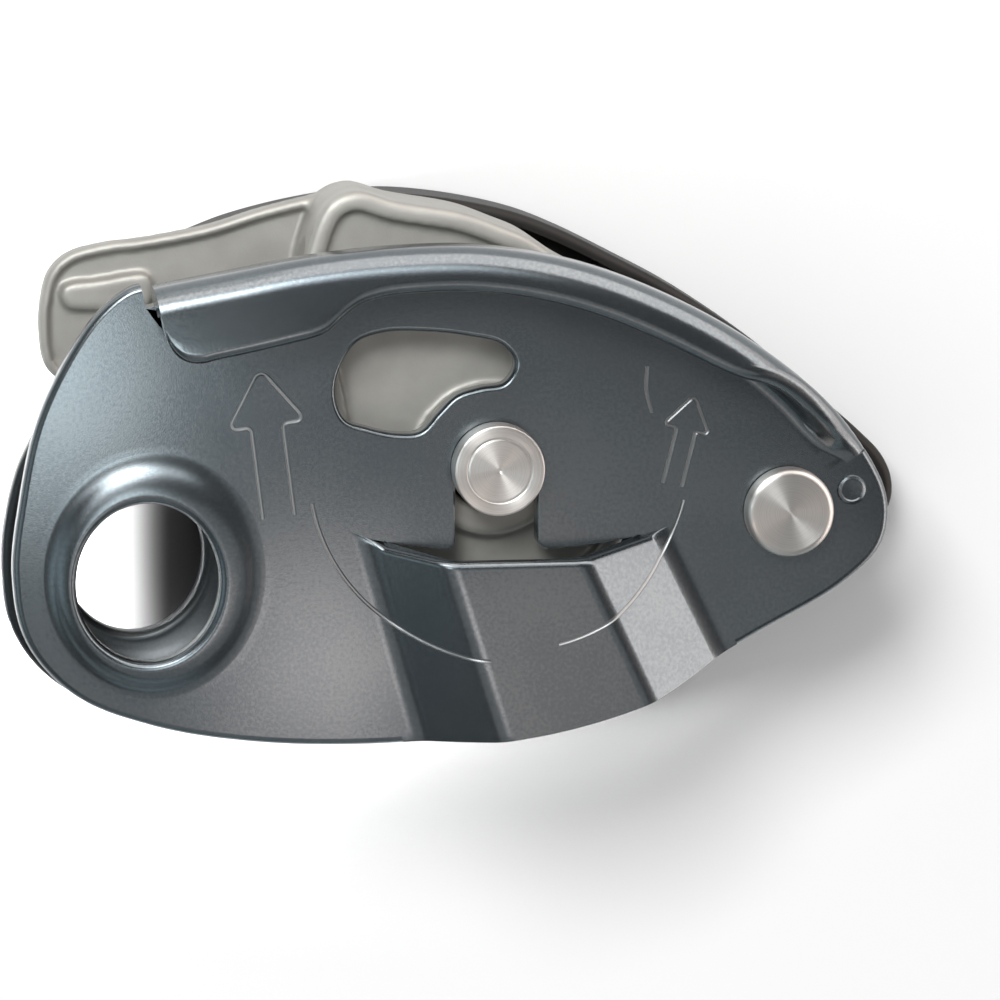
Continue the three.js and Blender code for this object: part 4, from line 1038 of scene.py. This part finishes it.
# %% Axle and plate pivot
head_base, head_face = 8.8, 9.7
back_head = [(0, head_base), (4.8, head_base), (5.4, head_base + 0.6), (5.4, head_face)]
axle_seat, axle_top = 30.05, 33.05
axle = spun("axle", [
    *back_head, (NECK, head_face), (NECK, axle_seat), (AXLE_HEAD, axle_seat),
    (AXLE_HEAD, axle_top - 0.28), (5.24, axle_top - 0.1), (5.12, axle_top - 0.02),
    (4.98, axle_top), (3.9, axle_top), (3.78, axle_top - 0.1), (3.66, axle_top - 0.1),
    (3.54, axle_top - 0.02), (3.4, axle_top - 0.02), (0.45, axle_top - 0.02), (0.3, axle_top - 0.03),
    (0.16, axle_top - 0.1), (0, axle_top - 0.16),
], (0, 0), 128, 0.06)
settle(axle, "cam_axle", "frame", axle_finish, 40)

pivot_top = 32.6
pivot_neck, pivot_head, pivot_seat = RIVET_HOLE - GAP, 5.2, 30.3
pivot = spun("plate_pivot", [
    *back_head, (pivot_neck, head_face), (pivot_neck, pivot_seat), (pivot_head, pivot_seat),
    (pivot_head, pivot_top - 0.85), (5.12, pivot_top - 0.5), (4.9, pivot_top - 0.22),
    (4.6, pivot_top - 0.06), (4.3, pivot_top), (0, pivot_top - 0.05),
], PIVOT, 128, 0.06)
settle(pivot, "plate_pivot_rivet", "frame", pivot_finish, 40)


# %% Pins and rivets through the back plate
def plate_pin(name, cad_node, place, shank, head_radius, front_low, front_high):
    piece = spun(name, [
        (0, head_base), (head_radius, head_base), (head_radius, head_face), (shank, head_face),
        (shank, front_low), (head_radius, front_low), (head_radius, front_high), (0, front_high),
    ], place, 48, 0.2)
    settle(piece, cad_node, "frame", pin_finish, 40)


plate_pin("stop_pin", "cam_stop_pin", stop_place, 1.3, STOP_HEAD, 13.3, 15.9)
plate_pin("wear_rivet_upper", "friction_plate_rivet_upper", foot_places[0], 1.5, 2.1, 15.6, 16.6)
plate_pin("wear_rivet_lower", "friction_plate_rivet_lower", foot_places[1], 1.5, 2.1, 15.6, 16.6)
anchor = spun("spring_dowel", [(0, 10.3), (0.6, 10.3), (0.6, 15.1), (0, 15.1)], anchor_place, 32, 0.12)
settle(anchor, "spring_anchor_pin", "frame", pin_finish, 40)


# %% Bushing, washers and spacer
rings = [
    ("bushing", "cam_bushing", "cam", (0, 0), 4.5, 5.3, 14.2, hub_top),
    ("thrust_washer", "cam_thrust_washer", "frame", (0, 0), 4.5, 6.4, 13.3, 13.9),
    ("plate_spacer", "pivot_spacer", "frame", PIVOT, RIVET_HOLE, 4.2, 13.3, 25.8),
    ("plate_washer", "pivot_washer", "frame", PIVOT, RIVET_HOLE, 4.2, 26.1, 26.7),
    ("lever_washer", "hinge_washer", "cam", HINGE, pin_hole, 3.6, 7.7, 8.3),
]
for name, cad_node, body_name, place, inner, outer, ring_low, ring_high in rings:
    section = [(inner, ring_low), (outer, ring_low), (outer, ring_high), (inner, ring_high)]
    slot, finish = ("bronze", bronze_finish) if name == "bushing" else ("wear_steel", wear_finish)
    settle(spun(name, section, place, 72, 0.12), cad_node, body_name, finish, 40)


# %% [markdown]
# ## Springs
# A torsion spring is wire wound on a mandrel, with a leg at each end. The path is drawn as points on a
# helix and the wire is a skin round it. A curve with a bevel would do as well, but its ends are open.


# %% Springs
def coil_line(centre, radius, pitch, turns, base, start, legs):
    """A helix with a leg at each end; a leg has a length and the angle at which it leaves, in degrees."""
    per_turn = 40
    line = []
    for i in range(turns * per_turn + 1):
        angle = math.radians(start) + 2 * math.pi * i / per_turn
        line.append(Vector((centre[0] + radius * math.cos(angle), centre[1] + radius * math.sin(angle),
                            base + pitch * i / per_turn)))

    def leg(point, length, turn):
        away = Vector((point.x - centre[0], point.y - centre[1], 0)).normalized()
        return point + Matrix.Rotation(math.radians(turn), 3, "Z") @ away * length

    return [leg(line[0], *legs[0]), *line, leg(line[-1], *legs[1])]


CAM_WIRE, GRIP_WIRE = 0.45, 0.35
cam_coil = coil_line((0, 0), 8, 1.4, 3, 13.75 + CAM_WIRE, 90, ((1.4, -30), (3.4, 30)))
grip_coil = coil_line(HINGE, 2.7, 1.15, 2, 2.2 + GRIP_WIRE, -90, ((0.7, -30), (9, 97)))
return_spring = wire("return_spring", cam_coil, CAM_WIRE)
handle_coil = wire("handle_coil", grip_coil, GRIP_WIRE)
settle(return_spring, "cam_return_spring", "cam", wire_finish, 60)
settle(handle_coil, "handle_spring", "handle", wire_finish, 60)

# %% [markdown]
# ## The wear plate
# The rope is pinched between the cam and this stainless plate. It is folded from strip: an upright wall
# with a flared end, and a foot that two rivets hold. The wall is a band of even width along a drawn line,
# and a slab over that band is quicker than bending a sheet.

# %% Wear plate
middle = FACE + WEAR / 2
wear_line = [(middle + 1.4 * flare, -11 + 20.5 * along)
             for flare, along in ((0.5, 0), (0, 0.27), (0, 0.69), (0.33, 0.91), (1, 1))]
WEAR_LOW, WEAR_HIGH, FOOT_TOP, WEAR_EDGE = 13.3, hub_top, 15.3, 0.2
wear_loop = ribbon(soft_curve(wear_line, 48, closed=False), WEAR / 2)
wear = slab("wear_plate", wear_loop, WEAR_LOW, WEAR_HIGH, WEAR_EDGE, 2)
foot_out = FACE + WEAR + FOOT_LONG
foot_loop = [Vector((middle, FOOT_LOW)), *arc((foot_out - 2, FOOT_LOW + 2), 2, -90, 0, 12),
             *arc((foot_out - 4, FOOT_HIGH - 4), 4, 0, 90, 16), Vector((middle, FOOT_HIGH))]
join(wear, slab("foot", foot_loop, WEAR_LOW, FOOT_TOP, WEAR_EDGE, 2))
cut(wear, *(disc("rivet hole", place, FOOT_RIVET, 12, 17, 40) for place in foot_places))
settle(wear, "friction_plate", "frame", wear_finish)

# %% [markdown]
# ## The handle
# The handle is a nylon shell over a steel lever. The lever turns on the pin in the cam's tail, and two
# rivets hold it in the shell. The shell is open towards the plates, with ribs across its floor. It is
# made as its mould is: the outline is a block, the outline moved in is the hollow, and the ribs are
# trimmed to the inside.

# %% Handle outline
grip_corners = [
    (0.092, 0.074), (0.1724, 0.1025), (0.258, 0.1225), (0.3486, 0.1332), (0.43, 0.127), (0.5206, 0.1076),
    (0.5782, 0.0853), (0.6549, 0.0464), (0.7281, 0.0061), (0.8296, -0.064), (0.9178, -0.1392),
    (0.9615, -0.1782), (0.9885, -0.2068), (1.002, -0.237), (1.001, -0.268), (0.979, -0.303),
    (0.933, -0.311), (0.864, -0.267), (0.76, -0.1785), (0.635, -0.09), (0.509, -0.0375),
    (0.384, -0.0145), (0.238, -0.021), (0.113, -0.042),
]
lever_corners = [(0, 0), (0.1, 0.018), (0.2, 0.046), (0.31, 0.06), (0.42, 0.055), (0.52, 0.036)]
grip_end = [tuple(p) for p in arc((0, 0), 5.4, 270, 90, 6)]
hinge = Vector(HINGE)
grip_loop = [p + hinge for p in soft_curve([*grip_end, *scaled(grip_corners, GRIP)], 310)]
lever_line = [p + hinge for p in soft_curve(scaled(lever_corners, GRIP), 60, closed=False)]
rivet_places = [lever_line[round(share * 60)] for share in (0.36, 0.86)]
print("rivets in the handle at", [(round(place.x, 1), round(place.y, 1)) for place in rivet_places])

# %% Handle shell
grip_low, grip_high = LEVELS["grip"]
SHELL, FLOOR, IN_FLOOR, LEVER_LOW, LEVER_TOP, DRILL = 1.5, 2.6, 2.0, 5.6, 7.4, 1.5
grip = slab("handle_shell", grip_loop, grip_low, grip_high, 1.1, 6)
cut(grip, slab("hollow", inwards(grip_loop, SHELL), FLOOR, 12, 0.5, 4))
inside = inwards(grip_loop, SHELL / 2)
half = Vector((5.4, 10.8))
ribs = []
for x, y in ((0.62, 0), (0.71, -0.07), (0.8, -0.13), (0.88, -0.19)):
    place = Vector((x * GRIP, y * GRIP)) + hinge
    rib = slab("rib", ribbon([place - half, place + half], 0.6), IN_FLOOR, LEVER_LOW - GAP)
    ribs.append(keep(rib, slab("inside", inside, 0.5, LEVER_LOW - GAP)))
bosses = [disc("boss", place, 3, IN_FLOOR, LEVER_LOW - GAP, 48) for place in rivet_places]
join(grip, *ribs, *bosses)
cut(grip,
    *(disc("drill", place, DRILL, -PAST, grip_high, 32) for place in rivet_places),
    *(disc("sink", place, 2.5, -PAST, 1.6, 48) for place in rivet_places),
    disc("pin opening", HINGE, 3.5, -PAST, FLOOR + 2, 64))
settle(grip, "handle_grip", "handle", nylon_finish)

# %% Lever, its rivets and the hinge pin
LEVER_HALF, LEVER_EDGE = 3.2, 0.25
lever = slab("lever", ribbon(lever_line, LEVER_HALF), LEVER_LOW, LEVER_TOP, LEVER_EDGE, 2)
join(lever, disc("tip", lever_line[-1], LEVER_HALF, LEVER_LOW, LEVER_TOP, 64, LEVER_EDGE),
     disc("eye", HINGE, 3.6, LEVER_LOW, LEVER_TOP, 64, LEVER_EDGE))
cut(lever,
    disc("pin hole", HINGE, pin_hole, 4, 9, 48),
    *(disc("drill", place, DRILL, 4, 9, 32) for place in rivet_places))
settle(lever, "handle_lever", "handle", wear_finish)
for name, place in zip(("inner", "outer"), rivet_places):
    rivet = spun(f"shell_rivet_{name}", [
        (0, 0.7), (2.2, 0.7), (2.2, 1.3), (1.2, 1.3), (1.2, 7.7), (2.2, 7.7), (2.2, 8.3), (0, 8.3),
    ], place, 48, 0.15)
    settle(rivet, f"handle_rivet_{name}", "handle", pin_finish, 40)
hinge_pin = spun("hinge_pin", [(0, 0.9), (3.2, 0.9), (3.2, 1.9), (2, 1.9), (2, 14), (0, 14)], HINGE, 64, 0.2)
settle(hinge_pin, "handle_hinge_pin", "cam", pin_finish, 40)

# %% [markdown]
# ## Floor, light and camera
# The device lies on white paper. No light of a studio reaches the paper deep under the plates, so its
# colour is painted dark there as painted shade, and that shows through the attachment hole. The painted
# shade is a product of four soft ramps, because a lamp that spares it would change the light on the metal
# too.


# %% Floor
def ramp_along(tree, value, start, end):
    """0 before the start and 1 after the end of a stretch in metres."""
    stretch = {"Value": value, "From Min": start, "From Max": end}
    return node(tree, "MapRange", stretch, interpolation_type="SMOOTHSTEP")


def product(tree, first, second):
    return node(tree, "Math", {0: first, 1: second}, operation="MULTIPLY")


def parts(tree, vector):
    """X, Y and Z of a vector."""
    split = tree.nodes.new("ShaderNodeSeparateXYZ")
    tree.links.new(vector, split.inputs[0])
    return split.outputs


bpy.ops.mesh.primitive_plane_add(size=3, location=(0, 0, 0))
floor = bpy.context.object
floor.name = "floor"
paper, tree = new_finish("white paper with painted shade under the plates")
along, across, _ = parts(tree, coordinates(tree))
# Painted shade: where all four ramps are 1, deep under the plates, the paper's colour goes from white to
# near black.
painted_shade_ramps = [
    (along, AXLE.x - 0.0495, AXLE.x - 0.035), (along, AXLE.x + 0.03, AXLE.x + 0.02),
    (across, AXLE.y - 0.036, AXLE.y - 0.029), (across, AXLE.y + 0.01, AXLE.y + 0.004),
]
painted_shade = 1.0
for value, start, end in painted_shade_ramps:
    painted_shade = product(tree, painted_shade, ramp_along(tree, value, start, end))
tones = {"Factor": painted_shade, "A": (0.98, 0.98, 0.98, 1), "B": (0.015, 0.015, 0.015, 1)}
dress(tree, {
    "Base Color": node(tree, "Mix", tones, data_type="RGBA"),
    "Roughness": 0.9,
    "Specular IOR Level": 0.1,
})
floor.data.materials.append(paper)
floor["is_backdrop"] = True

# %% [markdown]
# Metal shows what stands round it, so a photographer builds a tent of white and black cards. The cards
# here are seen by reflections only, and throw neither light nor shadow. The right and far cards are
# bright and warm, and the left and near ones are dim and cool.


# %% Cards round the device
def shine(tree, colour, strength=1.0):
    """Make a material only glow, in a plain colour or in what a node gives."""
    tree.nodes.remove(tree.nodes["Principled BSDF"])
    glow = node(tree, "Emission", {"Color": colour, "Strength": strength})
    tree.links.new(glow, tree.nodes["Material Output"].inputs["Surface"])


def card(name, corners, material):
    """A flat card through four corners in metres, from the axle's centre."""
    bpy.ops.mesh.primitive_plane_add(size=1)
    piece = bpy.context.object
    piece.name = name
    for vertex, corner in zip(piece.data.vertices, corners):
        vertex.co = Vector(corner) + AXLE
    piece.data.materials.append(material)
    piece.visible_camera = False
    piece.visible_diffuse = False
    piece.visible_shadow = False
    piece.visible_transmission = False
    piece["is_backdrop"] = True


REACH, ROOF = 0.3, 0.12
walls = {
    "right card": ((REACH, -REACH), (REACH, REACH), (1.08, 0.93, 0.88), 2.4),
    "far card": ((REACH, REACH), (-0.05, REACH), (1.08, 0.985, 0.94), 3.7),
    "far left card": ((-0.05, REACH), (-REACH, REACH), (1.0, 1.0, 0.98), 1.5),
    "left card": ((-REACH, REACH), (-REACH, -REACH), (0.85, 1.0, 1.05), 0.42),
    "near card": ((-REACH, -REACH), (REACH, -REACH), (0.9, 1.0, 1.03), 0.5),
}
for name, (start, end, colour, strength) in walls.items():
    wall_finish, tree = new_finish(name)
    shine(tree, (*colour, 1), strength)
    card(name, [(*start, 0), (*end, 0), (*start, ROOF), (*end, ROOF)], wall_finish)

# %% [markdown]
# The roof gives the flat plate its tone. It is grey over the device and nearly black in a ring that the
# rolled lip shows, and beyond the ring it is bright towards the far right corner. Soft patches, cool to
# the left and warm to the right, stand where the plate, the collar and the channel mirror them.


# %% Roof with its bright patches
def patch(tree, centre, size, core=0.0):
    """1 in the core share of a soft patch, falling to 0 at its size."""
    middle = (centre[0] + AXLE.x, centre[1] + AXLE.y, ROOF + AXLE.z)
    shift = node(tree, "VectorMath", {0: coordinates(tree), 1: middle}, operation="SUBTRACT")
    stretch = node(tree, "VectorMath", {0: shift, 1: (*size, 1)}, operation="DIVIDE")
    away = node(tree, "VectorMath", {0: stretch}, operation="LENGTH")
    fade = {"Value": away, "From Min": core, "To Min": 1, "To Max": 0}
    return node(tree, "MapRange", fade, interpolation_type="SMOOTHSTEP")


def add_light(tree, total, amount, colour):
    share = {"Factor": amount, "A": total, "B": (*colour, 1)}
    return node(tree, "Mix", share, data_type="RGBA", blend_type="ADD", clamp_result=False)


ROOF_TONE = (0.1, 0.1, 0.1)
LIP_CENTRE, SHEET_REACH, LIP_REACH = (0.0019, -0.0652), 0.0755, 0.19
patches = [
    (LIP_CENTRE, (SHEET_REACH, SHEET_REACH), 0.94, (0.42, 0.42, 0.42)),
    ((0.018, -0.042), (0.02, 0.034), 0.3, (0.62, 0.48, 0.42)),
    ((-0.0455, 0.001), (0.024, 0.03), 0.0, (5.6, 6.0, 6.1)),
    ((-0.0103, -0.0406), (0.02, 0.025), 0.0, (3.3, 2.8, 2.65)),
    ((-0.06, 0.08), (0.05, 0.045), 0.3, (11, 11.2, 11.3)),
    ((-0.21, -0.03), (0.15, 0.11), 0.2, (0.62, 0.78, 0.84)),
    ((-0.03, -0.21), (0.15, 0.1), 0.2, (0.5, 0.62, 0.66)),
    ((0.22, -0.03), (0.16, 0.09), 0.2, (0.82, 0.68, 0.62)),
    ((-0.002, 0.08), (0.045, 0.04), 0.2, (3.4, 3.55, 3.6)),
]
roof_finish, tree = new_finish("roof card")
light = (*ROOF_TONE, 1)
for centre, size, core, colour in patches:
    light = add_light(tree, light, patch(tree, centre, size, core), colour)
along, across, _ = parts(tree, coordinates(tree))
diagonal = node(tree, "Math", {0: along, 1: across}, operation="ADD")
ring = patch(tree, LIP_CENTRE, (LIP_REACH, LIP_REACH), 0.95)
beyond = node(tree, "Math", {0: 1.0, 1: ring}, operation="SUBTRACT")
far_right = product(tree, beyond, ramp_along(tree, diagonal, 0.03, 0.13))
shine(tree, add_light(tree, light, far_right, (3.9, 3.55, 3.4)))
card("roof card", [(x, y, ROOF) for y in (-REACH, REACH) for x in (-REACH, REACH)], roof_finish)

# %% [markdown]
# The world is a pale sky, brighter low on the left side. A large soft lamp stands at the upper left, so
# that the shadow falls to the lower right. A small low lamp lights only the paper, as far in as the
# attachment hole: light linking keeps it off the metal.

# %% World
world = bpy.data.worlds.new("studio")
bpy.context.scene.world = world
world.use_nodes = True
tree = world.node_tree
sideways, _, _ = parts(tree, coordinates(tree, "Generated"))
left_side = {"Value": sideways, "From Min": -0.35, "From Max": -0.95, "To Min": 0.42, "To Max": 1.3}
feed(tree, tree.nodes["Background"], {
    "Color": (1, 1, 1, 1),
    "Strength": node(tree, "MapRange", left_side, interpolation_type="SMOOTHSTEP"),
})
print("sky strength:", left_side["To Min"], "to", left_side["To Max"])


# %% Lamps
def lamp(name, place, target, size, power):
    data = bpy.data.lights.new(name, "AREA")
    data.shape = "RECTANGLE"
    data.size, data.size_y = size
    data.energy = power
    piece = bpy.data.objects.new(name, data)
    piece.location = place
    piece.rotation_euler = (Vector(target) - Vector(place)).to_track_quat("-Z", "Y").to_euler()
    bpy.context.scene.collection.objects.link(piece)
    print(name, power, "W")
    return piece


lamp("soft key", (-0.2, 0.36, 0.6), (0, 0, 0.02), (0.25, 0.25), 3.8)
hole_side = AXLE + Vector((-0.046, -0.014, 0))
low_light = lamp("low left light", (-0.16, -0.012, 0.06), hole_side, (0.05, 0.03), 0.05)
low_light.data.spread = math.radians(20)
lit_by_it = bpy.data.collections.new("floor only")
lit_by_it.objects.link(floor)
low_light.light_linking.receiver_collection = lit_by_it
low_light.visible_glossy = False

# %% [markdown]
# The camera looks down at the face, from a little to the left and above, as the photograph does. Its
# long lens, seven times the sensor's width, keeps the sides of the plates nearly parallel.

# %% Camera
DISTANCE = 0.8
camera_data = bpy.data.cameras.new("camera")
camera = bpy.data.objects.new("camera", camera_data)
bpy.context.scene.collection.objects.link(camera)
bpy.context.scene.camera = camera
towards = Vector((-0.145, 0.172, 1)).normalized()
aim = Vector((0.435, -3.909, 30.0)) * MM + AXLE
across = Vector((0, 1, 0)).cross(towards).normalized()
turn = Matrix((across, towards.cross(across), towards)).transposed()
camera.matrix_world = Matrix.Translation(aim + towards * DISTANCE) @ turn.to_4x4()
camera_data.sensor_width = 36
camera_data.lens = 248.54
camera_data.clip_start = 0.01
camera_data.clip_end = 10
bpy.context.scene.view_settings.view_transform = "Standard"
print("camera at", [round(v, 3) for v in aim + towards * DISTANCE])

# %% Sizes of the CAD model and of the dressed scene
bpy.context.view_layer.update()
visual_low, visual_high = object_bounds()
size = {"cad": [list(cad_low), list(cad_high)], "visual": [list(visual_low), list(visual_high)]}
print("size in mm:", [round((b - a) / MM, 3) for a, b in zip(visual_low, visual_high)])
